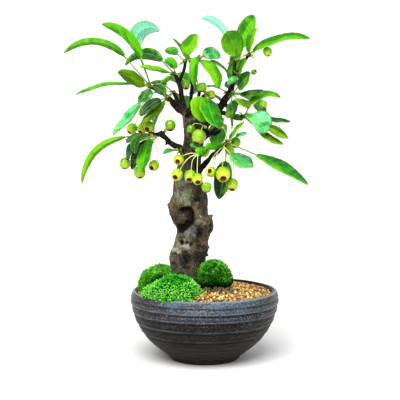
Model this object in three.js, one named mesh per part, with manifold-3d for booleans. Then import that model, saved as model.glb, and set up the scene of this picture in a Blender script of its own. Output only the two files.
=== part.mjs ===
// A small crabapple tree, trained as a bonsai, in its round hand-turned pot.
// Millimetres, +Z up. The origin is the centre of the pot's underside, and the front faces -Y.
// Headings turn anticlockwise seen from above: 0 is +X, 90 is the back, 270 is the front.
import * as THREE from 'three';
import { mergeVertices } from 'three/addons/utils/BufferGeometryUtils.js';
import Module from 'manifold-3d';

const wasm = await Module();
wasm.setup();

// ---- driving dimensions ----

const GAP = 0.3; // clearance that pieces which touch keep
const WOOD_GAP = 0.35; // the same round the wood, whose facets are coarser

const POT_SIDES = 32;
const RIM_TOP = 57.6;
const FLOOR_TOP = 6; // inside floor of the pot
const DRAIN_HOLES = 3;
const DRAIN_RING = 15; // distance of each drain hole from the axis
const DRAIN_RADIUS = 4.5;
const DRAIN_SIDES = 14;
const NET_SIZE = 13.6;
const NET_THICKNESS = 1;
const NET_CELLS = 2; // openings along each edge of a net
const NET_HOLE = 4.4;

const SOIL_WALL_Z = 51.5; // soil level at the wall
const SOIL_MIDDLE_Z = 58; // soil level in the middle
const ROOT_HOLE_RADIUS = 17;
const ROOT_HOLE_BOTTOM = 37.6;
const ROOT_HOLE_SIDES = 24;
const TRUNK_FOOT = [-13, 12]; // where the trunk stands in the pot

const GRAVEL_PITCH = 5.8;
const GRAVEL_DEPTH = 2.2; // least thickness of the gravel layer
const GRAVEL_REACH = 56; // radius that the grains cover
const GRAVEL_COLUMNS = 13; // rows of grains each way from the middle
const GRAIN_RELIEF = 2.4;

const TRUNK_SIDES = 14;
const LIMB_SIDES = 6;
const TWIG_SIDES = 5; // of limbs no thicker than a twig
const TWIG_RADIUS = 2.7;
const BLADE_THICKNESS = 1.3; // along the midrib
const BLADE_FOLD = 15; // degrees that each half of a blade is raised
const BLADE_WAVE = 0.05; // of the half width
const BLADE_TIP = 0.3; // half width of the cut-off tip
const TOOTH_OUT = 1.06; // share of the smooth outline that a tooth reaches
const TOOTH_IN = 0.93;
const STALK_RADIUS = 0.7;
const FRUIT_STALK_RADIUS = 0.65;
const FRUIT_STALK_SIDES = 3;
const FRUIT_STALK_STEPS = 3;
const FRUIT_SIDES = 7;
const FRUIT_STALK_SUNK = 0.06; // of the diameter, into the fruit
const FRUIT_CENTRE = 0.45; // of the diameter, beyond the end of the stalk
const LEAF_HUB = 2.1; // radius of the knob that the leaf stalks grow from
const FRUIT_HUB = 1.7;

// Half sections [radius, height], from the axis at the bottom round to the axis again.
const POT_OUTSIDE = [
  [0, 0], [28, 0], [29.8, 2], [29.7, 3.2], [36.2, 7.4], [37, 8.1], [45.4, 15.3], [46.4, 16],
  [51.1, 22.4], [52.1, 23.1], [55.9, 30.3], [56.8, 31.1], [58.9, 38.6], [60, 39.5],
  [60.5, 45.6], [61.4, 46.5], [61.5, 50.6], [60.8, 51.5], [61.3, 52.6], [60.2, 56],
];
const POT_RIM = [[58.4, RIM_TOP], [56.4, 57.2]];
const POT_INSIDE = [
  [56.6, 50], [55.8, 39], [50.5, 26.5], [41.5, 15.5], [26, FLOOR_TOP], [0, FLOOR_TOP],
];
const SOIL_TOP = [[55.9, SOIL_WALL_Z], [30, 56.2], [0, SOIL_MIDDLE_Z]];
const SOIL_SECTION = [
  [0, 6.3], [25.6, 6.4], [40.8, 16], [55, 39.4], ...SOIL_TOP,
];
// The room over the soil and inside the wall, which gravel and moss keep to.
const ROOM_TOP = 100;
const ROOM_SECTION = [
  [0, SOIL_MIDDLE_Z + GAP], [30, 56.5], [55.2, SOIL_WALL_Z + 2 * GAP], [55.6, 57],
  [57.4, 58.6], [57.4, ROOM_TOP], [0, ROOM_TOP],
];

// Trunk: [x, y, z, radius] from the foot of the buried stub to the crown.
const TRUNK = [
  [-13, 12, 38, 12], [-13, 12, 44, 14.4], [-13, 12, 52, 15.4], [-13, 12, 59, 15.8],
  [-13, 12, 65, 15.4], [-13.5, 11, 71, 14.8], [-13.5, 10.5, 78, 14.5], [-13, 10, 86, 14.4],
  [-12, 9.5, 92, 14], [-11, 9, 98, 13.8], [-9.5, 8, 105, 14.2], [-10.5, 7.5, 112, 14.8],
  [-12.5, 6.5, 119, 15.6], [-13, 6, 126, 15.4], [-12.5, 5, 133, 14.4], [-13.5, 4.5, 140, 13.2],
  [-14.5, 4, 147, 11.6], [-13, 3, 154, 10.4], [-12, 1.5, 162, 9.6], [-10.5, 0.5, 170, 9.1],
  [-9.5, 0, 178, 8.5], [-10, 0, 186, 7.7], [-10.5, 0, 194, 7.4], [-11.5, 1, 200, 7.4],
  [-12, 1.5, 204, 6.4], [-12.5, 2, 207.5, 3.6],
];
// Knobs and hollows of the bark: [z, heading, reach up and down, reach round, height].
const KNOBS = [
  [127, 186, 6, 26, 2.6], [121, 256, 5, 17, -3.4], [109, 305, 5, 16, 2], [111, 352, 6, 20, 2.2],
  [91, 356, 4, 15, 1.8], [86, 192, 7, 24, 1.8], [144, 20, 5, 22, 1.4], [201, 268, 5, 24, 1.5],
  [99, 235, 6, 20, -1.4], [134, 300, 7, 22, 1.2], [118, 70, 8, 30, 2], [95, 120, 7, 26, 1.6],
];
// Ripples of the bark: [waves round the trunk, millimetres up for each radian, height].
const RIPPLES = [[3, 7, 0.5], [5, -11, 0.45]];
const SMOOTH_BELOW = 60; // the buried stub has no bark relief
const FLARE_LOBES = 5; // root ridges at the foot
const FLARE_TOP = 92;
const FLARE_HEIGHT = 5.1; // at the underside of the pot, where the ridges would end

// Branches: points [x, y, z, radius], each starting well inside the wood that carries it.
const LIMBS = [
  [[-14, 1, 200.5, 3], [-22.5, -2, 207.5, 2.3], [-27, -5, 212.5, 1.9], [-31, -8, 216, 1.6]],
  [[-19, 1, 205, 1.8], [-26, 4, 213.5, 1.5], [-35, 3, 220, 1.4], [-43.5, 0, 224.5, 1.3]],
  [[-14.5, 2, 201, 3], [-17, 4, 210, 2.3], [-19, 5, 217, 2.1], [-20, 6, 224, 2.1],
    [-22, 7, 230, 1.9], [-24.5, 8, 235.5, 1.5]],
  [[-21.5, 7, 228, 1.6], [-19, 6, 235, 1.4], [-17, 5, 240, 1.3], [-16, 4, 245.5, 1.2]],
  [[-12, 2, 202, 2.4], [-11, 0, 211, 1.7], [-11, -1, 220, 1.5], [-10, -2, 229, 1.4],
    [-8, -2, 238, 1.4], [-5.5, -2, 246, 1.2]],
  [[-8, 3, 184, 5.5], [-1, 7, 193, 4.6], [7, 9, 202, 3.8], [13, 9, 209, 3.2], [17, 7, 215, 3],
    [20, 5, 220, 2.6], [23, 4, 227, 2], [24, 4, 236, 1.6], [25, 4, 245.5, 1.3]],
  [[24, 4, 232, 1.4], [29, 2, 240, 1.3], [35.5, -2, 250.5, 1.2]],
  [[22.5, 4, 226, 1.5], [26.5, 3, 233.5, 1.2]],
  [[19, 5.5, 217, 2], [22, 0.5, 219.5, 1.4]],
  [[-8, -2, 202, 2.2], [-4, -8, 211, 1.5], [0.5, -13.5, 218.5, 1.3]],
  [[9, 9, 204, 2.6], [18, 3, 203, 2], [26, -3, 201.5, 1.6], [31.5, -6, 201, 1.3]],
  [[-4, -1, 185, 3], [3, -7, 187.5, 2.4], [9, -10, 187, 2.2], [13, -12, 190, 1.6]],
  [[0, -5, 187, 1.6], [0.5, -10, 191.5, 1.2]],
  [[-8, -2, 154, 3.6], [-2, -11, 160, 3], [4, -15, 167, 2.6], [10, -19, 173, 2.2],
    [15, -21, 177.5, 2], [17.5, -22, 179.8, 1.5]],
  [[-14, -3, 171, 4.2], [-20, -6, 175, 3.2], [-27, -8, 179, 2.6], [-33, -10, 184.5, 2.1],
    [-36, -10, 189.5, 1.6]],
  [[-32.5, -10, 184, 1.8], [-38, -11, 186.5, 1.5], [-43.5, -12, 187, 1.3]],
  [[-9, -5, 156, 2.6], [-7, -15, 165, 1.9], [-4, -21, 174.5, 1.3]],
  [[-15, 3, 205, 2.6], [-22, 14, 214, 2], [-26, 23.5, 220.5, 1.4]],
  [[13, 9, 208, 2.4], [17, 18, 216, 1.9], [20, 28.5, 220.5, 1.4]],
  [[-7, 4, 178, 3], [1, 14, 184, 2.4], [8, 24, 189, 2], [13.5, 31.5, 195.5, 1.4]],
  [[-13, 3, 170.5, 3], [-20, 10, 174.5, 2.3], [-28, 18, 178.5, 1.8], [-35, 24.5, 186, 1.4]],
  [[-10, 6, 203, 2.2], [-6, 17, 213, 1.7], [-4, 25.5, 223.5, 1.3]],
];

// Leafy shoots. A leaf is [heading, rise, stalk, blade, droop, width, roll]: its straight stalk
// leaves the shoot at the rise angle, and its blade then bends down evenly by the droop angle.
const SHOOTS = [
  { name: 'upper_left', at: [-44, 0, 225], tone: 'mid', leaves: [
    [181, 49, 33, 55, 92, 12, -37], [207, 70, 25, 45, 65, 11, -71], [225, 19, 7, 30, 3, 14, -69],
    [208, 9, 9, 58, 34, 12, -12], [205, -66, 2, 15, -45, 13, -30], [235, -40, 20, 42, -6, 13, 1],
    [-15, 111, 34, 33, 155, 17, -40],
  ] },
  { name: 'inner_left', at: [-31, -8, 216], tone: 'dark', leaves: [
    [170, 62, 3, 13, 55, 9, -75], [205, -16, 5, 23, 40, 10, -50], [210, -50, 4, 27, -20, 11, -25],
  ] },
  { name: 'lower_left', at: [-44, -12, 187], tone: 'mid', leaves: [
    [191, -7, 21, 55, 79, 10, -33], [200, -28, 11, 20, 65, 12, -15], [235, 2, 9, 23, 115, 12, 10],
    [257, -42, 7, 32, 16, 18, 32],
  ] },
  { name: 'limb_left', at: [-20, -9, 173], tone: 'mid', leaves: [
    [220, 10, 5, 13, 45, 8, -15],
  ] },
  { name: 'leader', at: [-25, 8, 236], tone: 'lime', leaves: [
    [219, 12, 6, 29, 9, 9, -39], [189, 91, 4, 12, 114, 11, -54], [151, 42, 16, 41, 93, 12, -59],
    [180, -38, 4, 10, -10, 9, -30],
  ] },
  { name: 'leader_tip', at: [-16, 4, 246], tone: 'lime', leaves: [
    [16, 79, 5, 20, 36, 17, 35], [138, 35, 11, 15, 37, 9, -47],
  ] },
  { name: 'middle', at: [-5, -2, 247], tone: 'mid', leaves: [
    [261, 14, 6, 37, 141, 10, 27], [315, -16, 3, 31, 65, 15, 7], [45, 32, 6, 22, 68, 11, 82],
    [36, -4, 12, 27, 61, 7, 43],
  ] },
  { name: 'top', at: [25, 4, 246], tone: 'mid', leaves: [
    [134, 66, 19, 40, 68, 8, 84], [244, 79, 4, 27, 64, 19, 34], [57, 60, 13, 38, 23, 16, 61],
  ] },
  { name: 'upper_right', at: [36, -2, 251], tone: 'mid', leaves: [
    [329, 92, 2, 21, 46, 12, 58], [351, 38, 4, 49, 51, 16, 30],
  ] },
  { name: 'right_shoot', at: [27, 3, 234.5], tone: 'lime', leaves: [
    [295, 52, 2, 17, 19, 10, 84], [238, -24, 2, 15, 8, 7, -19],
  ] },
  { name: 'right', at: [22, 0, 219], tone: 'dark', leaves: [
    [310, 36, 9, 19, -6, 14, 80], [335, 0, 7, 21, -18, 7, 54], [290, -14, 15, 22, 15, 12, 0],
    [271, -50, 7, 26, -47, 15, 44],
  ] },
  { name: 'front', at: [1, -14, 219], tone: 'mid', leaves: [
    [255, -54, 4, 22, 12, 25, -34], [285, -53, 4, 40, -35, 20, -13],
  ] },
  { name: 'outer_right', at: [32, -6, 201], tone: 'mid', leaves: [
    [9, 61, 11, 29, 96, 8, 50], [205, -10, 2, 9, -10, 12, -30], [307, 13, 8, 26, 122, 24, 6],
    [322, -19, 25, 21, 13, 8, 81], [324, -37, 18, 26, -23, 7, 43], [29, -6, 20, 26, -3, 9, 31],
  ] },
  { name: 'lower_right', at: [18, -22, 180], tone: 'mid', leaves: [
    [355, 59, 3, 19, 17, 10, 21], [354, 34, 8, 10, 32, 8, 27], [328, -54, 10, 21, -46, 22, 16],
    [331, -19, 27, 50, 15, 16, 19], [225, -7, 6, 19, 7, 11, -25], [120, -79, 15, 33, -13, 16, 16],
  ] },
  { name: 'lower_front', at: [-3, -22, 175], tone: 'mid', leaves: [
    [185, 48, 2, 8, 80, 9, -35], [272, 14, 7, 10, 160, 11, 10],
  ] },
  { name: 'back_left', at: [-26, 24, 221], tone: 'dark', leaves: [
    [130, 26, 13, 27, 45, 12, -15], [70, -14, 13, 40, 35, 18, -10], [120, -22, 13, 34, 45, 15, -30],
  ] },
  { name: 'back_right', at: [20, 29, 221], tone: 'mid', leaves: [
    [130, 18, 13, 40, 55, 18, 0], [40, -2, 12, 39, 65, 17, -5], [45, 74, 11, 39, 15, 17, -10],
    [80, 22, 10, 29, 10, 13, -5],
  ] },
  { name: 'back_low_right', at: [14, 32, 196], tone: 'mid', leaves: [
    [95, -10, 9, 38, 65, 17, 0], [145, -30, 11, 37, 35, 16, -30], [100, 30, 11, 30, 25, 13, -30],
  ] },
  { name: 'back_low_left', at: [-35, 25, 186.5], tone: 'dark', leaves: [
    [130, -6, 12, 41, 10, 18, 15], [160, -30, 10, 34, 45, 15, 30],
  ] },
  { name: 'back_top', at: [-4, 26, 224], tone: 'mid', leaves: [
    [160, 70, 12, 37, 25, 16, 30], [25, -22, 12, 38, 70, 17, 20], [125, 22, 13, 38, 25, 17, -30],
  ] },
];

// Bunches of fruit. A fruit is [heading, rise, stalk, droop, diameter], its stalk an even bend.
const BUNCHES = [
  { name: 'upper_left', at: [-40, 3.8, 221], fruits: [[177, -19, 35, 68, 8.8]] },
  { name: 'inner_left', at: [-29.5, -8, 211.8], fruits: [
    [0, -40, 16, 76, 8.8], [184, -9, 23, 73, 9.2], [158, -1, 30, 72, 8.6],
  ] },
  { name: 'lower_left', at: [-43, -13, 183], fruits: [
    [177, -2, 28, 72, 9], [174, -27, 27, 75, 10], [36, -41, 20, 75, 8.8],
  ] },
  { name: 'middle', at: [0.5, -11, 192.5], fruits: [[248, 23, 13, 78, 11.2], [202, 41, 11, 80, 7]] },
  { name: 'lower_front', at: [-5.5, -22, 170.5], fruits: [
    [180, 34, 14, 80, 8.8], [203, 3, 22, 75, 9.6], [197, -21, 16, 79, 9.6], [268, -19, 19, 79, 9],
  ] },
  { name: 'lower_right', at: [15, -24, 177], fruits: [
    [221, -20, 36, 74, 8], [196, -17, 21, 78, 8.6], [265, -25, 20, 77, 11.8],
    [16, -35, 30, 73, 9.6],
  ] },
  { name: 'lower_right_top', at: [14.3, -18.8, 179.6], fruits: [[14, 56, 9, 83, 8]] },
  { name: 'front', at: [3, -15, 222], fruits: [[130, 76, 6, 84, 7.6], [70, 28, 5, 81, 6.8]] },
  { name: 'upper_right', at: [38.4, 0.8, 250], fruits: [[343, 66, 12, 84, 7.4]] },
  { name: 'outer_right', at: [35, -7, 203], fruits: [[4, 82, 14, 86, 6.4]] },
  { name: 'leader', at: [-22, 10, 233], fruits: [[23, 7, 7, 76, 7]] },
  { name: 'right_shoot', at: [27, 4, 227], fruits: [[0, 85, 17, 86, 4.6]] },
  { name: 'back_low_right', at: [15, 34, 192], fruits: [[60, -20, 22, 62, 9], [150, -10, 26, 72, 9.4]] },
];

// Half section of an apple, [radius, height] in half diameters, from its eye to its stalk.
const APPLE_SECTION = [[0, -0.9], [0.34, -1.04], [0.9, -0.52], [0.96, 0.36], [0.4, 0.98], [0, 0.84]];

// Moss cushions: centre, half axes, and how fine the tufts are.
const CUSHIONS = [
  { name: 'moss_right', at: [7.5, -1, 67], half: [15.2, 12.5, 15.2], detail: 3, seed: 3 },
  { name: 'moss_left', at: [-38, 9, 58], half: [18.5, 27, 19], detail: 4, seed: 7 },
  { name: 'moss_front', at: [-27, -25, 55], half: [25, 29, 19.5], detail: 4, seed: 5 },
];
const TUFT_RELIEF = 0.055; // of the half axes

const COLOURS = {
  pot: { color: 0x34353b, roughness: 0.6, metalness: 0.15 },
  net: { color: 0x2c2c2e, roughness: 0.7, metalness: 0 },
  soil: { color: 0x4a3322, roughness: 0.95, metalness: 0 },
  gravel: { color: 0xd9963f, roughness: 0.8, metalness: 0 },
  moss: { color: 0x3fa01e, roughness: 0.95, metalness: 0 },
  wood: { color: 0x5b544a, roughness: 0.9, metalness: 0 },
  lime: { color: 0x8fd422, roughness: 0.45, metalness: 0 },
  mid: { color: 0x4cb41f, roughness: 0.4, metalness: 0 },
  dark: { color: 0x226f1b, roughness: 0.4, metalness: 0 },
  fruit: { color: 0xb6d63a, roughness: 0.35, metalness: 0 },
};

// ---- solids ----

const radians = THREE.MathUtils.degToRad;

function solidOf(geometry) {
  const bare = geometry.clone();
  bare.deleteAttribute('normal');
  bare.deleteAttribute('uv');
  const merged = mergeVertices(bare, 1e-4);
  return new wasm.Manifold(new wasm.Mesh({
    numProp: 3,
    vertProperties: Float32Array.from(merged.attributes.position.array),
    triVerts: Uint32Array.from(merged.index.array),
  }));
}

function geometryOf(solid) {
  const mesh = solid.getMesh();
  const geometry = new THREE.BufferGeometry();
  geometry.setAttribute('position', new THREE.BufferAttribute(Float32Array.from(mesh.vertProperties), 3));
  geometry.setIndex(new THREE.BufferAttribute(Uint32Array.from(mesh.triVerts), 1));
  geometry.computeVertexNormals();
  return geometry;
}

// The one body that a cut leaves, without the scraps beyond it.
function mainBody(solid) {
  return solid.decompose().sort((a, b) => b.volume() - a.volume())[0];
}

function union(solids) {
  return solids.reduce((whole, solid) => whole.add(solid));
}

// A closed skin over a row of rings with equally many points, turning anticlockwise round the
// way they run. Diagonals alternate, so both faces of a flat section split alike.
function loft(rings) {
  const sides = rings[0].length;
  const position = rings.flat().flatMap((point) => point.toArray());
  const index = [];
  for (let i = 0; i + 1 < rings.length; i += 1) {
    for (let k = 0; k < sides; k += 1) {
      const a = i * sides + k;
      const b = i * sides + ((k + 1) % sides);
      const c = a + sides;
      const d = b + sides;
      if (k % 2 === 0) index.push(a, b, d, a, d, c);
      else index.push(a, b, c, b, d, c);
    }
  }
  const last = (rings.length - 1) * sides;
  for (let k = 1; k + 1 < sides; k += 1) {
    index.push(0, k + 1, k);
    index.push(last, last + k, last + k + 1);
  }
  const geometry = new THREE.BufferGeometry();
  geometry.setAttribute('position', new THREE.Float32BufferAttribute(position, 3));
  geometry.setIndex(index);
  return solidOf(geometry);
}

function lathe(section, sides) {
  const points = section.map(([radius, height]) => new THREE.Vector2(radius, height));
  const geometry = new THREE.LatheGeometry(points, sides);
  geometry.rotateX(Math.PI / 2);
  return solidOf(geometry);
}

function cylinder(radius, bottom, top, sides) {
  const geometry = new THREE.CylinderGeometry(radius, radius, top - bottom, sides);
  geometry.rotateX(Math.PI / 2);
  geometry.translate(0, 0, (bottom + top) / 2);
  return solidOf(geometry);
}

// An even scatter between -1 and 1 that is the same each time for the same three numbers.
function scatter(a, b, c) {
  const wave = Math.sin(a * 12.9898 + b * 78.233 + c * 37.719) * 43758.5453;
  return 2 * (wave - Math.floor(wave)) - 1;
}

// ---- pot, drain nets and soil ----

function drainPlaces() {
  return Array.from({ length: DRAIN_HOLES }, (_, i) => {
    const turn = radians(90) + (i * 2 * Math.PI) / DRAIN_HOLES;
    return [DRAIN_RING * Math.cos(turn), DRAIN_RING * Math.sin(turn)];
  });
}

function pot() {
  const bowl = lathe([...POT_OUTSIDE, ...POT_RIM, ...POT_INSIDE], POT_SIDES);
  const drill = cylinder(DRAIN_RADIUS, -1, FLOOR_TOP + 1, DRAIN_SIDES);
  return drainPlaces().reduce((body, [x, y]) => body.subtract(drill.translate([x, y, 0])), bowl);
}

function block(width, height, x, y, z) {
  const geometry = new THREE.BoxGeometry(width, width, height);
  geometry.translate(x, y, z);
  return solidOf(geometry);
}

function drainNet() {
  const middle = FLOOR_TOP + GAP + NET_THICKNESS / 2;
  const pitch = NET_SIZE / NET_CELLS;
  const first = -((NET_CELLS - 1) / 2) * pitch;
  let net = block(NET_SIZE, NET_THICKNESS, 0, 0, middle);
  for (let i = 0; i < NET_CELLS; i += 1) {
    for (let j = 0; j < NET_CELLS; j += 1) {
      net = net.subtract(block(NET_HOLE, 2 * NET_THICKNESS, first + i * pitch, first + j * pitch, middle));
    }
  }
  return net;
}

function soil() {
  const pocket = block(NET_SIZE + 2 * GAP, 2 * (NET_THICKNESS + GAP), 0, 0, FLOOR_TOP + GAP);
  const [x, y] = TRUNK_FOOT;
  const hole = cylinder(ROOT_HOLE_RADIUS, ROOT_HOLE_BOTTOM, ROOM_TOP, ROOT_HOLE_SIDES)
    .translate([x, y, 0]);
  const plain = lathe(SOIL_SECTION, POT_SIDES).subtract(hole);
  return drainPlaces().reduce((body, [u, v]) => body.subtract(pocket.translate([u, v, 0])), plain);
}

// ---- the tree's wood ----

// The height of knobs, hollows, root ridges and ripples at one place on the trunk.
function barkRelief(heading, z) {
  if (z < SMOOTH_BELOW) return 0;
  let relief = 0;
  for (const [waves, pitch, size] of RIPPLES) relief += size * Math.sin(waves * heading + z / pitch);
  for (const [height, degrees, reach, reachRound, size] of KNOBS) {
    const away = Math.abs(THREE.MathUtils.euclideanModulo(
      THREE.MathUtils.radToDeg(heading) - degrees + 180, 360) - 180);
    relief += size * Math.exp(-(((z - height) / reach) ** 2) - (away / reachRound) ** 2);
  }
  const foot = Math.max(0, (FLARE_TOP - z) / FLARE_TOP);
  return relief + FLARE_HEIGHT * foot * Math.max(0, Math.cos(FLARE_LOBES * heading + 1));
}

function trunk(extra) {
  const rings = TRUNK.map(([x, y, z, radius], i) => {
    const end = i === 0 ? -extra : i === TRUNK.length - 1 ? extra : 0;
    return Array.from({ length: TRUNK_SIDES }, (_, k) => {
      const heading = (k * 2 * Math.PI) / TRUNK_SIDES;
      const reach = radius + barkRelief(heading, z) + extra;
      return new THREE.Vector3(x + reach * Math.cos(heading), y + reach * Math.sin(heading), z + end);
    });
  });
  return loft(rings);
}

// A tapering round limb through the given points, grown all round by the extra.
function limb(points, extra) {
  const places = points.map(([x, y, z]) => new THREE.Vector3(x, y, z));
  const last = places.length - 1;
  const tangents = places.map((_, i) => places[Math.min(i + 1, last)].clone()
    .sub(places[Math.max(i - 1, 0)]).normalize());
  const side = new THREE.Vector3(0, 1, 0);
  const sides = points[0][3] > TWIG_RADIUS ? LIMB_SIDES : TWIG_SIDES;
  const rings = places.map((place, i) => {
    side.addScaledVector(tangents[i], -side.dot(tangents[i])).normalize();
    const other = tangents[i].clone().cross(side);
    const centre = place.clone().addScaledVector(tangents[i], i === last ? extra : 0);
    return Array.from({ length: sides }, (_, k) => {
      const turn = (k * 2 * Math.PI) / sides;
      const reach = points[i][3] + extra;
      return centre.clone()
        .addScaledVector(side, reach * Math.cos(turn))
        .addScaledVector(other, reach * Math.sin(turn));
    });
  });
  return loft(rings);
}

function wood(extra) {
  return union([trunk(extra), ...LIMBS.map((points) => limb(points, extra))]);
}

// ---- leaves and fruit ----

function hub(radius, at) {
  const geometry = new THREE.OctahedronGeometry(radius, 0);
  geometry.translate(...at);
  return solidOf(geometry);
}

// The way along a stem of a given heading at a slope angle, both in radians.
function direction(heading, slope) {
  return new THREE.Vector3(
    Math.cos(slope) * Math.cos(heading), Math.cos(slope) * Math.sin(heading), Math.sin(slope));
}

// Where an even bend from one slope angle down by the droop has come to, after a length of arc.
function bentTo(start, heading, rise, droop, length) {
  const bend = Math.abs(droop) < 0.02 ? 0.02 : droop;
  const out = (length / bend) * (Math.sin(rise) - Math.sin(rise - bend));
  const up = (length / bend) * (Math.cos(rise - bend) - Math.cos(rise));
  return start.clone().add(new THREE.Vector3(out * Math.cos(heading), out * Math.sin(heading), up));
}

// Half the width of a blade, as a share of the greatest, at a place from its base to its tip.
function bladeShape(along) {
  return (along ** 0.5 * (1 - along) ** 0.65) / 0.4551;
}

// One leaf: a four-sided stalk that widens into a folded, toothed and slightly waved blade.
function leaf(at, [heading, rise, stalk, blade, droop, width, roll], seed) {
  const turn = radians(heading);
  const base = at.clone().addScaledVector(direction(turn, radians(rise)), stalk);
  const steps = (blade > 34 ? 7 : blade > 22 ? 6 : 5) + (droop > 75 ? 1 : 0);
  const fold = radians(BLADE_FOLD);
  const across = new THREE.Vector3(-Math.sin(turn), Math.cos(turn), 0);
  const section = (centre, slope, half, thick, wave) => {
    const along = direction(turn, slope);
    const side = across.clone().applyAxisAngle(along, radians(roll));
    const up = along.clone().cross(side);
    const place = (sideways, lift) => centre.clone()
      .addScaledVector(side, sideways).addScaledVector(up, lift);
    const lift = half * Math.sin(fold);
    return [
      place(half * Math.cos(fold), lift + wave), place(0, thick),
      place(-half * Math.cos(fold), lift - wave), place(0, -thick),
    ];
  };
  const rings = [section(at, radians(rise), STALK_RADIUS, STALK_RADIUS, 0)];
  rings.push(section(base, radians(rise), STALK_RADIUS, STALK_RADIUS, 0));
  for (let i = 1; i <= steps; i += 1) {
    const along = i / (steps + 0.35);
    const bend = radians(droop) * along;
    const tooth = i % 2 === 0 ? TOOTH_OUT : TOOTH_IN;
    const half = Math.max(STALK_RADIUS, (width / 2) * bladeShape(along) * tooth);
    const centre = bentTo(base, turn, radians(rise), bend, blade * along);
    const wave = BLADE_WAVE * half * scatter(seed, i, width);
    rings.push(section(centre, radians(rise) - bend, half, BLADE_THICKNESS / 2, wave));
  }
  const tip = bentTo(base, turn, radians(rise), radians(droop), blade);
  rings.push(section(tip, radians(rise - droop), BLADE_TIP, BLADE_TIP, 0));
  return loft(rings);
}

function shoot({ at, leaves }, wholeWood) {
  const start = new THREE.Vector3(...at);
  const grown = leaves.map((numbers, i) => leaf(start, numbers, i + at[0]));
  return mainBody(union([hub(LEAF_HUB, at), ...grown]).subtract(wholeWood));
}

// A three-sided fruit stalk that bends down evenly.
function fruitStalk(at, heading, rise, droop, length) {
  const across = new THREE.Vector3(-Math.sin(heading), Math.cos(heading), 0);
  const rings = Array.from({ length: FRUIT_STALK_STEPS + 1 }, (_, i) => {
    const share = i / FRUIT_STALK_STEPS;
    const centre = bentTo(at, heading, rise, droop * share, length * share);
    const up = direction(heading, rise - droop * share).cross(across);
    return Array.from({ length: FRUIT_STALK_SIDES }, (_unused, k) => {
      const turn = (k * 2 * Math.PI) / FRUIT_STALK_SIDES;
      return centre.clone()
        .addScaledVector(across, FRUIT_STALK_RADIUS * Math.cos(turn))
        .addScaledVector(up, FRUIT_STALK_RADIUS * Math.sin(turn));
    });
  });
  return loft(rings);
}

// One little apple: dimpled round its stalk, with the sunk eye at the far end.
function apple(centre, along, diameter) {
  const points = APPLE_SECTION.map(([radius, height]) => new THREE.Vector2(
    (radius * diameter) / 2, (height * diameter) / 2));
  const geometry = new THREE.LatheGeometry(points, FRUIT_SIDES);
  geometry.applyQuaternion(new THREE.Quaternion().setFromUnitVectors(
    new THREE.Vector3(0, -1, 0), along));
  geometry.translate(...centre.toArray());
  return solidOf(geometry);
}

function bunch({ at, fruits }, wholeWood) {
  const start = new THREE.Vector3(...at);
  const grown = fruits.flatMap(([heading, rise, length, droop, diameter]) => {
    const turn = radians(heading);
    const end = bentTo(start, turn, radians(rise), radians(droop), length);
    const along = direction(turn, radians(rise - droop));
    const centre = end.addScaledVector(along, FRUIT_CENTRE * diameter);
    const whole = length + FRUIT_STALK_SUNK * diameter;
    const stalk = fruitStalk(start, turn, radians(rise), radians(droop), whole);
    return [stalk, apple(centre, along, diameter)];
  });
  return mainBody(union([hub(FRUIT_HUB, at), ...grown]).subtract(wholeWood));
}

// ---- moss and gravel ----

// A cushion of moss: an ellipsoid with a tuft raised or sunk at every corner of its facets.
function cushion({ at, half, detail, seed }, extra) {
  const geometry = new THREE.IcosahedronGeometry(1, detail);
  const position = geometry.attributes.position;
  const point = new THREE.Vector3();
  for (let i = 0; i < position.count; i += 1) {
    point.fromBufferAttribute(position, i);
    const near = point.clone().multiplyScalar(50).round();
    const relief = 1 + TUFT_RELIEF * scatter(near.x + seed, near.y, near.z);
    point.multiply(new THREE.Vector3(...half.map((axis) => axis * relief + extra)));
    position.setXYZ(i, point.x + at[0], point.y + at[1], point.z + at[2]);
  }
  return solidOf(geometry);
}

function room() {
  return lathe(ROOM_SECTION, POT_SIDES);
}

// A sheet of gravel whose top is raised grain by grain, before it is cut to the pot.
function gravelSheet() {
  const reach = GRAVEL_COLUMNS * GRAVEL_PITCH;
  const rowPitch = (GRAVEL_PITCH * Math.sqrt(3)) / 2;
  const rows = Math.ceil(reach / rowPitch);
  const base = SOIL_WALL_Z - 20;
  const fall = SOIL_MIDDLE_Z - SOIL_WALL_Z;
  const rings = [];
  for (let row = -rows; row <= rows; row += 1) {
    const x = row * rowPitch;
    const shift = row % 2 === 0 ? 0 : GRAVEL_PITCH / 2;
    const ring = [new THREE.Vector3(x, reach + GRAVEL_PITCH, base)];
    ring.push(new THREE.Vector3(x, -reach - GRAVEL_PITCH, base));
    for (let y = -reach; y <= reach; y += GRAVEL_PITCH) {
      const distance = Math.hypot(x, y + shift);
      const mound = Math.max(SOIL_MIDDLE_Z - fall * (distance / GRAVEL_REACH) ** 2, base + 8);
      const grain = distance < GRAVEL_REACH ? GRAIN_RELIEF * (0.5 + 0.5 * scatter(row, y, 1)) : 0;
      ring.push(new THREE.Vector3(x, y + shift, mound + GRAVEL_DEPTH + grain));
    }
    rings.push(ring.reverse());
  }
  return loft(rings);
}

// ---- the whole ----

const object = new THREE.Group();

function addPiece(name, solid, colour) {
  const mesh = new THREE.Mesh(geometryOf(solid), new THREE.MeshStandardMaterial(COLOURS[colour]));
  mesh.name = name;
  object.add(mesh);
}

addPiece('pot', pot(), 'pot');
drainPlaces().forEach(([x, y], i) => {
  addPiece(`drain_net_${i + 1}`, drainNet().translate([x, y, 0]), 'net');
});
addPiece('soil', soil(), 'soil');
addPiece('tree_wood', wood(0), 'wood');

const grownWood = wood(WOOD_GAP);
let free = room().subtract(grownWood);
for (const shape of CUSHIONS) {
  addPiece(shape.name, mainBody(cushion(shape, 0).intersect(free)), 'moss');
  free = free.subtract(cushion(shape, GAP));
}
addPiece('gravel', mainBody(gravelSheet().intersect(free)), 'gravel');

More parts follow.
